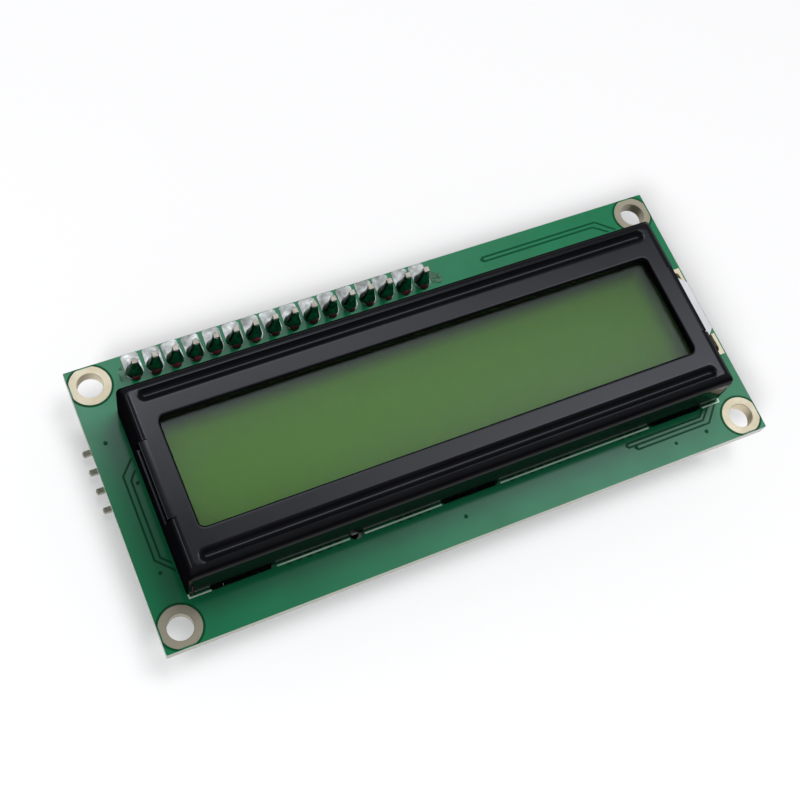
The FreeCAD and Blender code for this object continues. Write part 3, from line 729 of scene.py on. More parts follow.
class PieceTree(ShapeTree):
    """Tree that sets one of several pieces on each point of a mesh.

    The random choice may pass the last piece, after which it starts again at the first.
    """

    last_choice = 7

    def __init__(self) -> None:
        """Build the tree."""
        super().__init__("pieces_on_points", {"Pieces": "Collection", "Turn": "Float", "Smallest": "Float",
                                              "Seed": "Int"})
        tree = self.tree
        pieces = add(tree, "GeometryNodeCollectionInfo", {"Collection": self.given["Pieces"]},
                     {"Separate Children": True, "Reset Children": True})
        seed = {"Seed": self.given["Seed"]}
        minus = add(tree, "Math", {0: self.given["Turn"]}, {1: -1.0}, operation="MULTIPLY")
        turn = add(tree, "FunctionNodeRandomValue", seed | {2: minus, 3: self.given["Turn"]}, data_type="FLOAT")
        size = add(tree, "FunctionNodeRandomValue", seed | {2: self.given["Smallest"]}, data_type="FLOAT")
        which = add(tree, "FunctionNodeRandomValue", seed, {4: 0, 5: self.last_choice}, data_type="INT")
        self.close(add(tree, "GeometryNodeInstanceOnPoints", {
            "Points": self.given["Geometry"], "Instance": pieces, "Instance Index": which.outputs[2],
            "Rotation": add(tree, "CombineXYZ", {2: turn.outputs[1]}), "Scale": size.outputs[1],
        }, {"Pick Instance": True}))

    def place(self, name: str, points: list, pieces: list[Piece], finish: Finish, *nodes: str, turn: float = 0.0,
              smallest: float = 1.0, seed: int = 1, angle: float = 35.0) -> None:
        """Set pieces on points, then bake and dress the result.

        Args:
            name: The object's name.
            points: Places in millimetres.
            pieces: Shapes made about the origin, which are used up.
            finish: The finish of all of them.
            nodes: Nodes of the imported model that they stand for.
            turn: Largest turn about the upright axis, in radians.
            smallest: Smallest random scale.
            seed: Seed of every random choice.
            angle: Edges that turn more degrees than this stay sharp.
        """
        group = bpy.data.collections.new(name + "_pieces")
        bpy.context.scene.collection.children.link(group)
        for piece in pieces:
            bpy.context.scene.collection.objects.unlink(piece)
            group.objects.link(piece)
        made = self.bake(shell(name, points, []), Pieces=group, Turn=turn, Smallest=smallest, Seed=seed,
                         Finish=finish.material())
        for piece in pieces:
            bpy.data.objects.remove(piece)
        bpy.data.collections.remove(group)
        dress(made, finish, *nodes, angle=angle)


class TraceTree(ShapeTree):
    """Tree that lays a flat strip of a set width along each path."""

    def __init__(self) -> None:
        """Build the tree."""
        super().__init__("strips_on_paths", {"Width": "Float", "Height": "Float"})
        section = add(self.tree, "GeometryNodeCurvePrimitiveQuadrilateral",
                      {label: self.given[label] for label in ("Width", "Height")})
        self.close(add(self.tree, "GeometryNodeCurveToMesh",
                       {"Curve": self.given["Geometry"], "Profile Curve": section}, {"Fill Caps": True}))

    def lay(self, name: str, paths: list[Loop], width: float, z0: float, z1: float, finish: Finish) -> None:
        """Lay strips of a width between two heights along paths, then bake and dress them."""
        holder = new_object(name, drawn(name, paths, False, (z0 + z1) / 2))
        dress(self.bake(holder, Width=width * MM, Height=abs(z1 - z0) * MM, Finish=finish.material()), finish)


def pin_row() -> tuple[list[float], float]:
    """Places of the header pins along the board, and of their row across it.

    Returns:
        Each pin's place along the board, and the row's place across it.
    """
    low, high = node_box("header_pins")
    half = (high.y - low.y) / 2
    span = high.x - low.x - 2 * half
    return [low.x + half + span * i / (HEADER_PINS - 1) for i in range(HEADER_PINS)], low.y + half


def adapter_pins(name: str) -> Loop:
    """Places of the bus or jumper pins on the adapter board.

    Args:
        name: The header's name, one of ADAPTER_PINS.

    Returns:
        Place of each pin.
    """
    low, high = node_box(name + "_pin_solder")
    radius = (high.x - low.x) / 2
    gaps = ADAPTER_PINS[name] - 1
    step = (high.y - low.y - 2 * radius) / gaps
    return [((low.x + high.x) / 2, low.y + radius + step * i) for i in range(gaps + 1)]


@dataclass
class MainBoard:
    """Green board with its lands, traces, covered vias and printed outline."""

    pieces: PieceTree
    traces: TraceTree
    copper: float = 0.05
    film: float = 0.02
    hole_inset: float = 2.5
    hole_radius: float = 1.55
    land_radius: float = 2.5
    land_edge_gap: float = 0.2
    pin_hole_radius: float = 0.5
    pin_land_radius: float = 1.05
    slot_size: Point = (7.8, 1.2)
    slot_places: tuple = (-29.1, 0.0, 29.1)
    bezel_y: float = -0.45
    slot_offset: float = 11.85
    # Painted shade sheets in the front slots' gaps: their size, the end pieces and their heights
    gap_fill: Point = (7.4, 0.34)
    gap_ends: tuple = (2.95, 1.6, 1.0)
    gap_sides: Point = (-1.5, -0.9)
    wall_hole: tuple = (-14.85, 0.9)
    light_y: float = 5.05
    light_slot: Point = (1.0, 2.1)
    outline_y: float = -12.82
    outline_runs: tuple = ((-35.45, -32.85), (-24.9, -15.8), (-13.9, -3.85), (4.05, 25.1), (33.1, 35.65))
    trace_gap: float = 0.26
    line_width: float = 0.2
    clearance: Point = (0.02, 0.28)
    scallops: tuple = (-23.5, -22.2, -20.95, -19.7, -18.45, -17.2, -9.4, -8.15, -6.9, -5.7, 5.6, 7.0, 8.3,
                       9.6, 10.9, 12.2, 13.4, 21.1, 22.3, 23.5)

    def __post_init__(self) -> None:
        """Read the board's box and the places of the pins."""
        self.low, self.high = node_box("main_board")
        self.pin_xs, self.pin_y = pin_row()
        pads_low, pads_high = node_box("backlight_pads")
        self.light_x = (pads_low.x + pads_high.x) / 2

    def corners(self) -> list[Point]:
        """Centres of the four mounting holes.

        Returns:
            Place of each centre on the board.
        """
        x = self.high.x - self.hole_inset
        y = self.high.y - self.hole_inset
        return [(sx * x, sy * y) for sx in (-1, 1) for sy in (-1, 1)]

    def laminate(self) -> None:
        """Board with its drilled and routed openings."""
        length = self.high.x - self.low.x
        depth = self.high.y - self.low.y
        loops = [oblong(0, 0, length, depth, 0.15, 3)]
        loops += [ring(x, y, self.hole_radius + self.copper) for x, y in self.corners()]
        loops += [ring(x, self.pin_y, self.pin_hole_radius + self.copper, 24) for x in self.pin_xs]
        for side in (-1, 1):
            y = self.bezel_y + side * self.slot_offset
            loops += [oblong(x, y, *self.slot_size, self.slot_size[1] / 2 * 0.98) for x in self.slot_places]
            width = self.light_slot[0] + 2 * self.copper
            loops.append(oblong(self.light_x, self.bezel_y + side * self.light_y, width,
                                self.light_slot[1] + 2 * self.copper, width / 2 * 0.98))
        loops.append(ring(self.wall_hole[0], self.bezel_y - self.slot_offset, self.wall_hole[1]))
        dress(plate("board_laminate", loops, self.low.z, self.high.z), MASK, "main_board")
        # Dark sheets of painted shade in the front slots' gaps and at their ends
        y = self.bezel_y - self.slot_offset - self.slot_size[1] / 2 + self.gap_fill[1] / 2 + self.film
        fills = [plate("fill", [oblong(x, y, *self.gap_fill, 0.1, 2)], *self.gap_sides) for x in self.slot_places]
        away, width, depth = self.gap_ends
        y += (self.gap_fill[1] + depth) / 2
        fills += [plate("end_fill", [oblong(x + side * away, y, width, depth, 0.1, 2)], *self.gap_sides)
                  for x in self.slot_places for side in (-1, 1)]
        dress(join("slot_lacquer_fill", fills), PAINTED_SLOT_SHADE)

    def lands(self) -> None:
        """Plated mounting holes and the rings of the pin row."""
        reach_x = self.high.x - self.land_edge_gap
        reach_y = self.high.y - self.land_edge_gap
        made = []
        for x, y in self.corners():
            rim = [(max(-reach_x, min(reach_x, px)), max(-reach_y, min(reach_y, py)))
                   for px, py in ring(x, y, self.land_radius, HOLE_STEPS)]
            hole = ring(x, y, self.hole_radius + self.copper, HOLE_STEPS)
            made.append(plate("land", [rim, hole], 0.0, self.copper))
            made.append(plate("land", [rim, hole], self.low.z - self.copper, self.low.z))
            made.append(self.barrel(x, y, self.hole_radius, self.hole_radius + self.copper))
        dress(join("mounting_lands", made), PLATING, "mounting_pads")
        drilled = self.pin_hole_radius + self.copper
        rings = [ring(0, 0, radius, LAND_STEPS) for radius in (self.pin_land_radius, drilled)]
        faces = [plate("land", rings, z, z + self.copper) for z in (0.0, self.low.z - self.copper)]
        prototype = join("pin_land", [self.barrel(0, 0, self.pin_hole_radius, drilled)] + faces)
        points = [(x, self.pin_y, 0) for x in self.pin_xs]
        self.pieces.place("pin_lands", points, [prototype], PLATING, "header_pads")

    def barrel(self, x: float, y: float, inner: float, outer: float) -> Piece:
        """Plated wall of a hole.

        Args:
            x: Hole centre along the board.
            y: Hole centre across the board.
            inner: Radius of the open hole.
            outer: Radius of the drilled hole.

        Returns:
            The barrel.
        """
        top = self.copper
        back = self.low.z - self.copper
        profile = [(inner + 0.06, top), (inner, top - 0.08), (inner, back + 0.08), (inner + 0.06, back),
                   (outer, back), (outer, top)]
        return turned("barrel", profile, x, y, HOLE_STEPS, closed=True)

    def front_copper(self) -> None:
        """Gaps etched beside the traces, vias and printed outline of the front face."""
        gaps = [
            [(-36.0, 5.2), (-37.6, 3.4), (-37.6, -7.3), (-35.8, -9.2)],
            [(-36.1, 3.7), (-36.9, 2.6), (-36.9, -7.2), (-35.9, -8.2)],
            [(21.3, -13.8), (32.2, -13.8), (33.8, -12.1)],
            [(21.3, -14.35), (32.4, -14.35), (34.4, -12.4)],
            [(22.4, -14.95), (33.0, -14.95), (35.2, -12.6)],
            [(14.9, 16.1), (31.9, 16.1), (34.2, 14.2)],
            [(14.9, 15.5), (31.3, 15.5), (33.1, 14.2)],
        ]
        self.traces.lay("etched_gaps", gaps, self.trace_gap, 0.0, self.film, CLEARANCE)
        inner, outer = (self.land_radius + more for more in self.clearance)
        profile = [(outer, 0.0), (outer, self.film), (inner, self.film), (inner, 0.0)]
        clearances = [turned("gap", profile, x, y, HOLE_STEPS, closed=True) for x, y in self.corners()]
        for piece in clearances:
            for vertex in piece.data.vertices:
                vertex.co.x = max(-self.high.x * MM, min(self.high.x * MM, vertex.co.x))
                vertex.co.y = max(-self.high.y * MM, min(self.high.y * MM, vertex.co.y))
        dress(join("land_clearances", clearances), CLEARANCE)
        lines = [[(a, self.outline_y), (b, self.outline_y)] for a, b in self.outline_runs]
        lines[0].insert(0, (self.outline_runs[0][0], self.outline_y + 0.8))
        lines[-1].append((self.outline_runs[-1][1], self.outline_y + 0.5))
        self.traces.lay("printed_outline", lines, self.line_width, self.film, 2 * self.film, INK)
        bump = turned("via", [(0.5, 0.0), (0.46, 0.012), (0.3, 0.018), (0.05, 0.02)], 0, 0, 20)
        points = [(x, self.outline_y + 0.12, 0) for x in self.scallops]
        self.pieces.place("covered_vias", points, [bump], CLEARANCE, smallest=0.85, seed=3)
        dot = turned("dot", [(0.28, 0.0), (0.25, 0.02), (0.16, 0.03), (0.05, 0.034)], 0, 0, 16)
        points = [(-1.7, -15.2, 0), (27.55, -15.9, 0), (32.1, -15.85, 0), (-37.5, -8.9, 0), (-38.15, 8.0, 0),
                  (-36.3, 2.1, 0), (21.3, -14.05, 0), (22.35, -14.65, 0), (14.9, 15.8, 0)]
        self.pieces.place("small_vias", points, [dot], CLEARANCE, smallest=0.8, seed=4)

    def build(self) -> None:
        """Make every piece of the board."""
        self.laminate()
        self.lands()
        self.front_copper()


@dataclass
class Bezel:
    """Pressed and folded steel bezel with its grooves, slots, seams and twisted tabs."""

    depth: float = 24.2
    sheet: float = 0.5
    bend: float = 1.3
    corner: float = 0.5
    window: Point = (64.5, 13.8)
    window_corner: float = 0.7
    window_bend: float = 0.3
    lip: float = 1.0
    groove_offset: float = 10.05
    groove_reach: float = 33.5
    groove_half: float = 0.75
    groove_depth: float = 0.45
    slot_half: float = 4.9
    slot_insets: Point = (0.3, 0.58)
    slot_drop: float = 1.7
    tongue_gap: float = 0.1
    filed: float = 0.22
    filed_slope: float = 0.36
    seam: float = 0.2
    port_half: float = 5.1
    port_height: float = 2.75
    rust_size: tuple = (0.14, 0.12, 3.2)
    tab_width: float = 4.0
    tab_below: float = 1.4
    tab_twist: float = 32.0
    tab_places: tuple = (-29.1, 0.0, 29.1)
    bend_steps: int = 10
    plate_steps: int = 44
    window_steps: int = 6
    long_steps: int = 150
    short_steps: int = 60
    corner_steps: int = 8

    def __post_init__(self) -> None:
        """Read the bezel's box and the board it stands on."""
        low, high = node_box("metal_bezel")
        self.half_x = high.x
        self.y = (low.y + high.y) / 2
        self.half_y = self.depth / 2
        self.top = high.z
        self.board_back = node_box("main_board")[0].z

    def course(self, half_x: float, half_y: float, radius: float) -> Loop:
        """Points once round the bezel's centre, closer together near the corners.

        Args:
            half_x: Half length of the course.
            half_y: Half depth of the course.
            radius: Its corner radius.

        Returns:
            The points, counter-clockwise.
        """
        loop = []
        run_x = half_x - radius
        run_y = half_y - radius
        sides = (((1, 1), (-1, 1), (0, 1), self.long_steps), ((-1, 1), (-1, -1), (-1, 0), self.short_steps),
                 ((-1, -1), (1, -1), (0, -1), self.long_steps), ((1, -1), (1, 1), (1, 0), self.short_steps))
        for quarter, (start, end, facing, steps) in enumerate(sides):
            for i in range(self.corner_steps):
                angle = pi / 2 * (quarter + i / self.corner_steps)
                loop.append((start[0] * run_x + radius * cos(angle), start[1] * run_y + radius * sin(angle)))
            for i in range(steps):
                share = 0.5 - 0.5 * cos(pi * i / steps)
                x = start[0] + (end[0] - start[0]) * share
                y = start[1] + (end[1] - start[1]) * share
                loop.append((x * run_x + facing[0] * radius, y * run_y + facing[1] * radius))
        return loop

    def groove(self, x: float, y: float) -> float:
        """Depth of the pressed grooves at a point of the top plate.

        Args:
            x: Place along the board.
            y: Place across the board.

        Returns:
            Depth below the plate.
        """
        run = self.groove_reach - self.groove_half
        along = max(0.0, abs(x) - run)
        across = abs(y) - self.groove_offset
        reach = self.groove_half + 0.2
        share = min(1.0, hypot(along, across) / reach)
        return self.groove_depth * 0.5 * (1 + cos(pi * share))

    def courses(self) -> list:
        """Half sizes, corner radius, height and pressing of each course of the shell.

        Returns:
            The courses up the outside, over the plate to the window's edge, and back below it to the rim.
        """
        top = self.top
        rows = [(self.half_x, self.half_y, self.corner, 0.0, False)]
        for i in range(self.bend_steps + 1):
            angle = pi / 2 * i / self.bend_steps
            inset = self.bend * (1 - cos(angle))
            rows.append((self.half_x - inset, self.half_y - inset, self.corner,
                         top - self.bend * (1 - sin(angle)), False))
        start_x = self.half_x - self.bend
        start_y = self.half_y - self.bend
        end_x = self.window[0] / 2 + self.window_bend
        end_y = self.window[1] / 2 + self.window_bend
        for i in range(1, self.plate_steps + 1):
            share = i / self.plate_steps
            rows.append((start_x + (end_x - start_x) * share, start_y + (end_y - start_y) * share,
                         self.corner + (self.window_corner + self.window_bend - self.corner) * share, top, True))
        for i in range(1, self.window_steps + 1):
            angle = pi / 2 * i / self.window_steps
            inset = self.window_bend * sin(angle)
            rows.append((end_x - inset, end_y - inset, self.window_corner + self.window_bend - inset,
                         top - self.window_bend * (1 - cos(angle)), False))
        out = self.sheet
        ceiling = top - self.groove_depth - self.sheet / 2
        for grown, z in ((0.0, top - self.lip), (out, top - self.lip), (out, ceiling)):
            half_x, half_y = (size / 2 + grown for size in self.window)
            rows.append((half_x, half_y, self.window_corner + grown, z, False))
        rows.append((start_x, start_y, self.corner, ceiling, False))
        rows += [(self.half_x - out, self.half_y - out, 0.1, z, False) for z in (top - self.bend, 0.0)]
        return rows

    def pressing(self) -> Piece:
        """Closed shell of the bezel before its cut-outs.

        Returns:
            The shell as a mesh object.
        """
        courses = self.courses()
        points = [(x, y + self.y, z - (self.groove(x, y) if pressed else 0.0))
                  for half_x, half_y, radius, z, pressed in courses
                  for x, y in self.course(half_x, half_y, radius)]
        return shell("bezel_pressing", points, wall(len(courses), len(points) // len(courses), closed=True))

    def cutters(self) -> list:
        """Boxes of the side slots, corner seams and the backlight's port.

        Returns:
            The boxes to cut away.
        """
        boxes = []
        for side in (-1, 1):
            inner = side * (self.half_x - self.bend)
            outer = side * (self.half_x + 1)
            boxes.append((min(inner, outer), max(inner, outer), self.y - self.slot_half,
                          self.y + self.slot_half, self.top - self.slot_drop, self.top + 1))
            seam_x = side * (self.half_x - self.sheet - self.seam / 2)
            for end in (-1, 1):
                seam_y = self.y + end * self.half_y
                boxes.append((seam_x - self.seam / 2, seam_x + self.seam / 2, seam_y - 0.7, seam_y + 0.7,
                              -1.0, self.top - self.bend - 1.2))
        boxes.append((self.half_x - 1.5, self.half_x + 1, self.y - self.port_half, self.y + self.port_half,
                      -1.0, self.port_height))
        return boxes

    def tab(self, x: float, y: float) -> Piece:
        """One tab through the board, twisted behind it.

        Args:
            x: Its place along the board.
            y: Its place across the board.

        Returns:
            The tab.
        """
        points = []
        levels = [(0.0, 0.0), (self.board_back, 0.0)]
        levels += [(self.board_back - self.tab_below * i / self.bend_steps, self.tab_twist * i / self.bend_steps)
                   for i in range(1, self.bend_steps + 1)]
        for z, degrees in levels:
            angle = radians(degrees)
            for u, v in ((-1, -1), (1, -1), (1, 1), (-1, 1)):
                px = u * self.tab_width / 2
                py = v * self.sheet / 2
                points.append((x + px * cos(angle) - py * sin(angle), y + px * sin(angle) + py * cos(angle), z))
        faces = [(0, 1, 2, 3), tuple(reversed(range(len(points) - 4, len(points))))]
        return shell("tab", points, faces + wall(len(levels), 4, flip=True))

    def tongue(self, side: int) -> Piece:
        """Flat edge of the top plate over a side slot, with a filed corner.

        Args:
            side: One at the right end and minus one at the left.

        Returns:
            The tongue.
        """
        half = self.slot_half - self.tongue_gap
        inner = self.half_x - self.bend
        outer = self.half_x - self.slot_insets[side > 0]
        section = [(inner, self.top), (outer - self.filed, self.top),
                   (outer, self.top - self.filed * self.filed_slope), (outer, self.top - self.sheet),
                   (inner, self.top - self.sheet)]
        points = [(side * x, self.y + end * half, z) for end in (-1, 1) for x, z in section]
        count = len(section)
        faces = [tuple(range(count)), tuple(reversed(range(count, 2 * count)))]
        return outward(shell("tongue", points, faces + wall(2, count, flip=True)))

    def build(self) -> None:
        """Make the bezel as one piece."""
        made = self.pressing()
        work = bmesh.new()
        for x0, x1, y0, y1, z0, z1 in self.cutters():
            size = Matrix.Diagonal(((x1 - x0) * MM, (y1 - y0) * MM, (z1 - z0) * MM, 1))
            move = Matrix.Translation(((x0 + x1) / 2 * MM, (y0 + y1) / 2 * MM, (z0 + z1) / 2 * MM))
            bmesh.ops.create_cube(work, size=1.0, matrix=move @ size)
        mesh = bpy.data.meshes.new("cutters")
        work.to_mesh(mesh)
        work.free()
        cutter = new_object("cutters", mesh)
        cut = made.modifiers.new("cut", "BOOLEAN")
        cut.operation = "DIFFERENCE"
        cut.solver = "EXACT"
        cut.object = cutter
        made = baked(made)
        bpy.data.objects.remove(cutter)
        offset = self.half_y - self.sheet / 2
        tabs = [self.tab(x, self.y + side * offset) for x in self.tab_places for side in (-1, 1)]
        tongues = [self.tongue(side) for side in (-1, 1)]
        dress(join("steel_bezel", [made] + tabs + tongues), ENAMEL, "metal_bezel", angle=28.0)
        width, depth, height = self.rust_size
        x = self.sheet + self.seam / 2 - self.half_x
        y = self.y - self.half_y + depth
        rust = plate("seam_rust", [oblong(x, y, width, depth, 0.03, 2)], 0.05, height)
        dress(rust, RUST)


@dataclass
class Joints:
    """Soldered joints of every pin, each a little different from the next."""

    pieces: PieceTree
    copper: float = 0.05
    film: float = 0.03
    foot: float = 1.0
    neck: float = 0.44
    top: float = 3.12
    reach: float = 0.12
    hollow: float = 1.35
    low_foot: float = 0.9
    wetted_half: float = 1.06
    wetted_rear: float = 2.42
    wetted_front: float = -1.02
    wetted_height: float = 0.04
    drop_size: tuple = (0.68, 0.5, 0.6)
    drop_place: Point = (-0.04, -0.78)
    variants: int = 5
    seed: int = 11

    def cone(self, foot: float, neck: float, height: float, reach: float, seed: int, side: int) -> Piece:
        """Hollow-sided cone of solder about the origin, drawn out towards one side.

        Args:
            foot: Radius on the land.
            neck: Radius at the pin.
            height: Height of the joint.
            reach: How much further the foot spreads to the rear left.
            seed: Seed of its unevenness.
            side: One above a face and minus one below it.

        Returns:
            The joint.
        """
        dice = random.Random(seed)
        phase = [dice.uniform(0, 2 * pi) for _ in range(2)]
        pull = radians(dice.uniform(105, 130))
        steps = 36
        rows = 18
        points = []
        for row in range(rows):
            t = row / (rows - 1)
            for i in range(steps):
                angle = 2 * pi * i / steps
                spread = (0.5 + 0.5 * cos(angle - pull)) ** 2 * reach
                hollow = self.hollow + 5.0 * spread
                wave = 1 + (0.04 * sin(2 * angle + phase[0]) + 0.02 * sin(3 * angle + phase[1])) * (1 - t)
                r = (neck + (foot + spread - neck) * (1 - t) ** hollow) * wave
                points.append((r * cos(angle), r * sin(angle), side * height * t))
        faces = [tuple(range(steps)), tuple(range((rows - 1) * steps, rows * steps))]
        return outward(shell("joint", points, faces + wall(rows, steps)))

    def residue(self, x0: float, x1: float, y0: float, y1: float, seed: int) -> Piece:
        """Ragged film of dried flux on the front face.

        Args:
            x0: Its left end.
            x1: Its right end.
            y0: Its front edge.
            y1: Its rear edge.
            seed: Seed of its ragged rim.

        Returns:
            The film.
        """
        dice = random.Random(seed)
        loop = []
        for x, y in ring(0, 0, 1, 30):
            size = dice.uniform(0.6, 1.0)
            loop.append(((x0 + x1) / 2 + (x1 - x0) / 2 * size * x, (y0 + y1) / 2 + (y1 - y0) / 2 * size * y))
        return plate("residue", [loop], 0.0, self.film)

    def flux(self, xs: list[float], y: float) -> None:
        """Wetted lands, burnt flux at the front foot of each joint and dried film beside the row.

        Args:
            xs: Places of the pins along the board.
            y: Place of the row across the board.
        """
        profile = [(1.0, 0.0), (0.92, 0.4), (0.7, 0.75), (0.4, 0.95), (0.1, 1.0)]
        drop = turned("drop", profile, 0, 0, 20)
        drop.data.transform(Matrix.Diagonal((*self.drop_size, 1)))
        points = [(x + self.drop_place[0], y + self.drop_place[1], self.copper) for x in xs]
        self.pieces.place("burnt_flux", points, [drop], FLUX, turn=0.3, smallest=0.7, seed=5, angle=60.0)
        half = self.wetted_half
        outline = [(half * cos(pi * (1 + i / 16)), -self.wetted_front * sin(pi * (1 + i / 16)))
                   for i in range(17)]
        outline += [(half, self.wetted_rear - 0.25), (half - 0.25, self.wetted_rear),
                    (0.25 - half, self.wetted_rear), (-half, self.wetted_rear - 0.25)]
        land = plate("wetted", [outline], 0.0, self.wetted_height)
        points = [(x, y, self.copper) for x in xs]
        self.pieces.place("wetted_lands", points, [land], WETTED, turn=0.06, seed=9)
        films = [self.residue(xs[0] - 2.2, xs[0] - 0.9, y - 1.0, y + 1.3, 21),
                 self.residue(xs[-1] + 0.8, xs[-1] + 2.9, y - 1.1, y + 0.9, 22),
                 self.residue(xs[-1] + 0.9, xs[-1] + 1.8, y - 0.2, y + 1.5, 23)]
        dress(join("dried_flux", films), RESIDUE)

    def row(self, name: str, points: list, size: tuple, side: int, *nodes: str) -> None:
        """Set joints on a row of pins.

        Args:
            name: The object's name.
            points: Places of the pins on the face.
            size: Foot radius, neck radius, height and reach to the rear left.
            side: One above a face and minus one below it.
            nodes: Nodes that the row stands for.
        """
        shapes = [self.cone(*size, self.seed + i, side) for i in range(self.variants)]
        self.pieces.place(name, points, shapes, SOLDER, *nodes, turn=0.12, smallest=0.96, seed=self.seed,
                          angle=60.0)

    def build(self) -> None:
        """Make the joints of both boards."""
        xs, y = pin_row()
        adapter = node_box("adapter_board")
        self.row("front_joints", [(x, y, self.copper) for x in xs],
                 (self.foot, self.neck, self.top - self.copper, self.reach), 1, "header_solder")
        self.flux(xs, y)
        self.row("rear_joints", [(x, y, adapter[0].z) for x in xs], (self.low_foot, self.neck, 0.8, 0.0), -1,
                 "adapter_header_solder")
        for name in ADAPTER_PINS:
            low, high = node_box(name + "_pin_solder")
            points = [(x, y, low.z) for x, y in adapter_pins(name)]
            self.row(name + "_joints", points, (self.low_foot, self.neck, high.z - low.z, 0.0), 1,
                     name + "_pin_solder")
        low, high = node_box("backlight_solder")
        radius = (high.x - low.x) / 2
        points = [((low.x + high.x) / 2, y, high.z) for y in (low.y + radius, high.y - radius)]
        self.row("light_joints", points, (radius, 0.55, high.z - low.z, 0.0), -1, "backlight_solder")


@dataclass
class RearParts:
    """Poured covers, lands and traces on the hidden faces."""

    pieces: PieceTree
    traces: TraceTree
    film: float = 0.02
    land_radius: float = 0.98
    hole_radius: float = 0.5
    trace_width: float = 0.3
    outline_width: float = 0.15
    gap_width: float = 0.18

    def covers(self) -> None:
        """Domes of poured resin over the bonded chips."""
        for name in ("driver_cover_left", "driver_cover_right"):
            low, high = node_box(name)
            radius = (high.x - low.x) / 2
            height = high.z - low.z
            angles = [pi / 2 * i / 14 for i in range(15)]
            profile = [(radius * cos(angle) ** 0.8 + 0.01, high.z - height * sin(angle) ** 0.9)
                       for angle in angles]
            made = turned(name + "_dome", profile, (low.x + high.x) / 2, (low.y + high.y) / 2, 64)
            dress(made, COVER, name, angle=60.0)

    def adapter_lands(self) -> None:
        """Rings round the holes of the adapter board."""
        low, high = node_box("adapter_board")
        xs, row_y = pin_row()
        places = [(x, row_y) for x in xs] + [place for name in ADAPTER_PINS for place in adapter_pins(name)]
        for z, label in ((low.z - self.film, "rear"), (high.z, "front")):
            loops = [ring(0, 0, radius, LAND_STEPS) for radius in (self.land_radius, self.hole_radius)]
            disc = plate("land", loops, 0.0, self.film)
            self.pieces.place("adapter_lands_" + label, [(x, y, z) for x, y in places], [disc], PLATING)

    def adapter_traces(self) -> None:
        """Traces and a printed frame on the back of the adapter board."""
        low, high = node_box("adapter_board")
        chip = node_box("expander_chip")
        z = low.z
        left = chip[0].x + 0.7
        paths = []
        for i in range(8):
            x = left + i * PIN_PITCH / 2
            paths.append([(x, chip[1].y + 1.5), (x, chip[1].y + 2.2 + 0.15 * i), (x + 1.2 - 0.4 * i, high.y - 3.2)])
        for i in range(4):
            x = left + i * PIN_PITCH / 2
            y = low.y + 4.27 + PIN_PITCH * i
            paths.append([(low.x + 4.3, y), (low.x + 8.2 + i * 0.5, y), (x, chip[0].y - 1.6)])
        self.traces.lay("adapter_traces", paths, self.trace_width, z - self.film, z, ADAPTER_TRACE)
        first, last = node_box("trimmer_body")
        x0, y0, x1, y1 = first.x - 0.4, first.y - 0.4, last.x + 0.4, last.y + 0.4
        outline = [(x0, y0), (x1, y0), (x1, y1), (x0, y1), (x0, y0 - 0.1)]
        self.traces.lay("adapter_outline", [outline], self.outline_width, z - self.film, z, ADAPTER_INK)

    def board_traces(self) -> None:
        """Gaps etched beside the traces on the back of the main board."""
        z = node_box("main_board")[0].z
        paths = []
        for i in range(12):
            x = -30.7 + i * PIN_PITCH
            paths.append([(x, 13.6), (x, 1.5 - 0.35 * i), (x * 0.55 - 5.0, -2.2 - 0.3 * i)])
        for i in range(10):
            y = -14.6 - 0.3 * i
            bends = ((-25.5, -13.4), (-25.0, y), (4.0, y), (6.0, -13.2))
            paths.append([(x + 0.9 * i, bend_y) for x, bend_y in bends])
        self.traces.lay("rear_etched_gaps", paths, self.gap_width, z - self.film, z, CLEARANCE)

    def build(self) -> None:
        """Make every piece of the hidden faces."""
        self.covers()
        self.adapter_lands()
        self.adapter_traces()
        self.board_traces()


@dataclass(frozen=True)
class SkyPatch:
    """Soft bright oval panel of the studio, seen in gloss only.

    Its place and half sizes are slopes from the upright.
    """

    x: float
    y: float
    half_x: float
    half_y: float
    strength: float


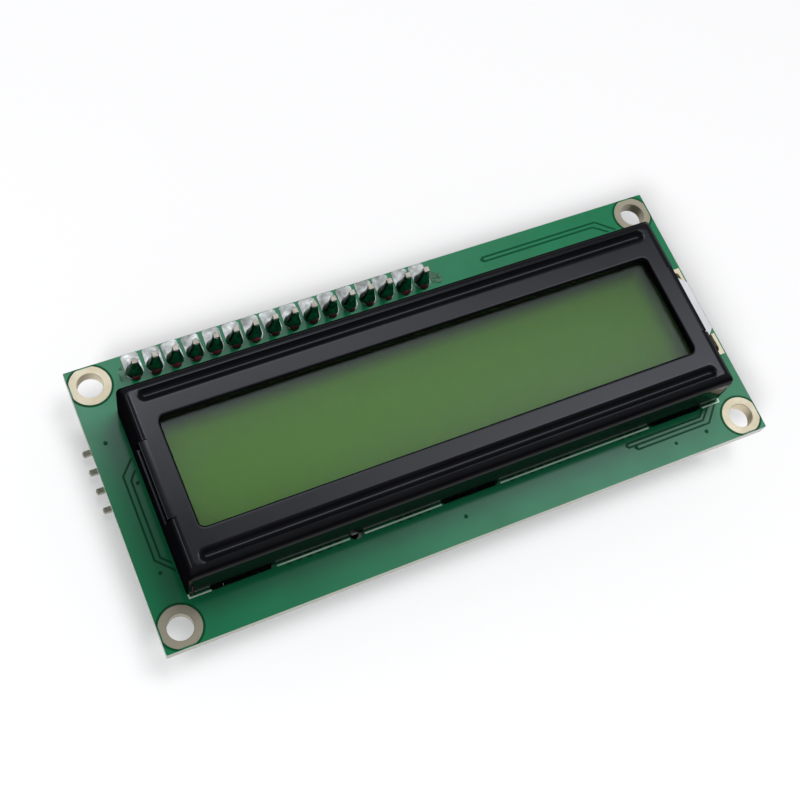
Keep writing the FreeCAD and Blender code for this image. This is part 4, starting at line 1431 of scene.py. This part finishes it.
@dataclass
class Studio:
    """Pale floor, soft light and the camera."""

    floor_z: float
    focal_px: float = 1329.98
    image_px: float = 800.0
    sensor: float = 36.0
    turn: tuple = (2.71081175, -0.51885442, 0.33212671)
    shift: tuple = (3.41674446, 0.148931538, 163.411252)
    gloss_tint: tuple = (0.94, 0.99, 1.1, 1.0)
    base: float = 0.12
    patches: tuple = (
        SkyPatch(0.547, 0.232, 0.539, 0.242, 1.5),
        SkyPatch(0.52, 0.16, 0.45, 0.11, 1.1),
        SkyPatch(0.158, 0.542, 0.52, 0.3, 1.93),
        SkyPatch(0.017, 0.402, 0.12, 0.044, 4.75),
        SkyPatch(-0.67, 0.41, 0.14, 0.3, 2.3),
        SkyPatch(0.45, 1.0, 0.4, 0.14, 1.0),
    )

    def camera(self) -> None:
        """Camera at the measured place."""
        axis = Vector(self.turn)
        angle = axis.length
        rotation = Matrix.Rotation(angle, 3, axis.normalized())
        place = -(rotation.transposed() @ Vector(self.shift))
        facing = rotation.transposed() @ Matrix.Diagonal((1, -1, -1))
        data = bpy.data.cameras.new("photo_camera")
        data.sensor_width = self.sensor
        data.lens = self.focal_px / self.image_px * self.sensor
        data.clip_start = 0.01
        data.clip_end = 10.0
        made = new_object("photo_camera", data)
        made.matrix_world = Matrix.Translation(place * MM) @ facing.to_4x4()
        bpy.context.scene.camera = made

    def floor(self) -> None:
        """Pale floor that reads white away from the object's shadow."""
        half = 1500.0
        made = shell("floor", [(-half, -half, self.floor_z), (half, -half, self.floor_z),
                               (half, half, self.floor_z), (-half, half, self.floor_z)], [(0, 1, 2, 3)])
        paper = bpy.data.materials.new("white_paper")
        paper.use_nodes = True
        tree = paper.node_tree
        shader = tree.nodes["Principled BSDF"]
        shader.inputs["Base Color"].default_value = linear("#ADADAE")
        shader.inputs["Roughness"].default_value = 0.9
        shader.inputs["Specular IOR Level"].default_value = 0.0
        made.data.materials.append(paper)
        self.paper = made

    def sky(self) -> None:
        """White surround for the camera, even light for matt surfaces, soft panels for gloss."""
        world = bpy.data.worlds.new("studio")
        bpy.context.scene.world = world
        world.use_nodes = True
        tree = world.node_tree
        background = tree.nodes["Background"]
        parts = add(tree, "SeparateXYZ", {0: add(tree, "TexCoord").outputs["Generated"]})
        height = add(tree, "Math", {0: parts.outputs[2]}, {1: 0.02}, operation="MAXIMUM")
        slopes = [add(tree, "Math", {0: parts.outputs[axis], 1: height}, operation="DIVIDE") for axis in (0, 1)]
        slope = add(tree, "CombineXYZ", {0: slopes[0], 1: slopes[1]})
        gloss = add(tree, "Value")
        gloss.outputs[0].default_value = self.base
        for patch in self.patches:
            away = add(tree, "VectorMath", {0: slope}, {1: (patch.x, patch.y, 0.0)}, operation="SUBTRACT")
            share = add(tree, "VectorMath", {0: away}, {1: (patch.half_x, patch.half_y, 1.0)},
                        operation="DIVIDE")
            far = add(tree, "VectorMath", {0: share}, operation="LENGTH")
            glow = add(tree, "MapRange", {0: far.outputs["Value"]},
                       {1: 0.0, 2: 1.0, 3: patch.strength, 4: 0.0}, interpolation_type="SMOOTHSTEP")
            gloss = add(tree, "Math", {0: gloss, 1: glow})
        ray = add(tree, "LightPath")
        matt = add(tree, "Mix", {0: ray.outputs["Is Glossy Ray"], 3: gloss}, {2: 0.5})
        seen = add(tree, "Mix", {0: ray.outputs["Is Camera Ray"], 2: matt}, {3: 1.0})
        tree.links.new(seen.outputs[0], background.inputs["Strength"])
        tint = add(tree, "Mix", {0: ray.outputs["Is Glossy Ray"]},
                   {6: (1, 1, 1, 1), 7: self.gloss_tint}, data_type="RGBA")
        tree.links.new(tint.outputs[2], background.inputs["Color"])

    def lamp(self, name: str, place: tuple, size: float, power: float, on_floor: bool) -> None:
        """Soft square lamp that faces the object and stays out of reflections.

        The paper's own two lamps stand so far apart that a narrow rim of shadow shows on every side.

        Args:
            name: The lamp's name.
            place: Its centre in millimetres.
            size: Its side in millimetres.
            power: Its power in watts.
            on_floor: True to light the floor alone, false to light all but the floor.
        """
        data = bpy.data.lights.new(name, "AREA")
        data.size = size * MM
        data.energy = power
        made = new_object(name, data)
        made.location = Vector(place) * MM
        made.rotation_mode = "QUATERNION"
        made.rotation_quaternion = (-Vector(place)).to_track_quat("-Z", "Y")
        made.visible_glossy = False
        group = bpy.data.collections.new(name + "_receivers")
        group.objects.link(self.paper)
        group.collection_objects[0].light_linking.link_state = "INCLUDE" if on_floor else "EXCLUDE"
        made.light_linking.receiver_collection = group

    def build(self) -> None:
        """Make the floor, light and camera."""
        self.floor()
        self.sky()
        self.lamp("key", (240.0, 200.0, 430.0), size=300.0, power=2.4, on_floor=False)
        self.lamp("paper_light_front", (100.0, -79.0, 1110.0), size=400.0, power=13.3, on_floor=True)
        self.lamp("paper_light_rear", (-800.0, -600.0, 1110.0), size=400.0, power=27.5, on_floor=True)
        self.camera()
        bpy.context.scene.view_settings.view_transform = "Standard"


def dress_nodes() -> None:
    """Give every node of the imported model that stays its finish."""
    for finish, names in DRESSED.items():
        for name in names:
            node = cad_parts[name]
            node.data.materials.clear()
            node.data.materials.append(finish.material())
            LOG.info("%s: %s", name, finish.name)


def main() -> None:
    """Build every piece in order."""
    logging.basicConfig(level=logging.INFO, format="%(message)s")
    pieces = PieceTree()
    traces = TraceTree()
    dress_nodes()
    MainBoard(pieces, traces).build()
    Bezel().build()
    Joints(pieces).build()
    RearParts(pieces, traces).build()
    Studio(floor_z=CAD_BOX[0].z / MM).build()


if __name__ == "__main__":
    main()
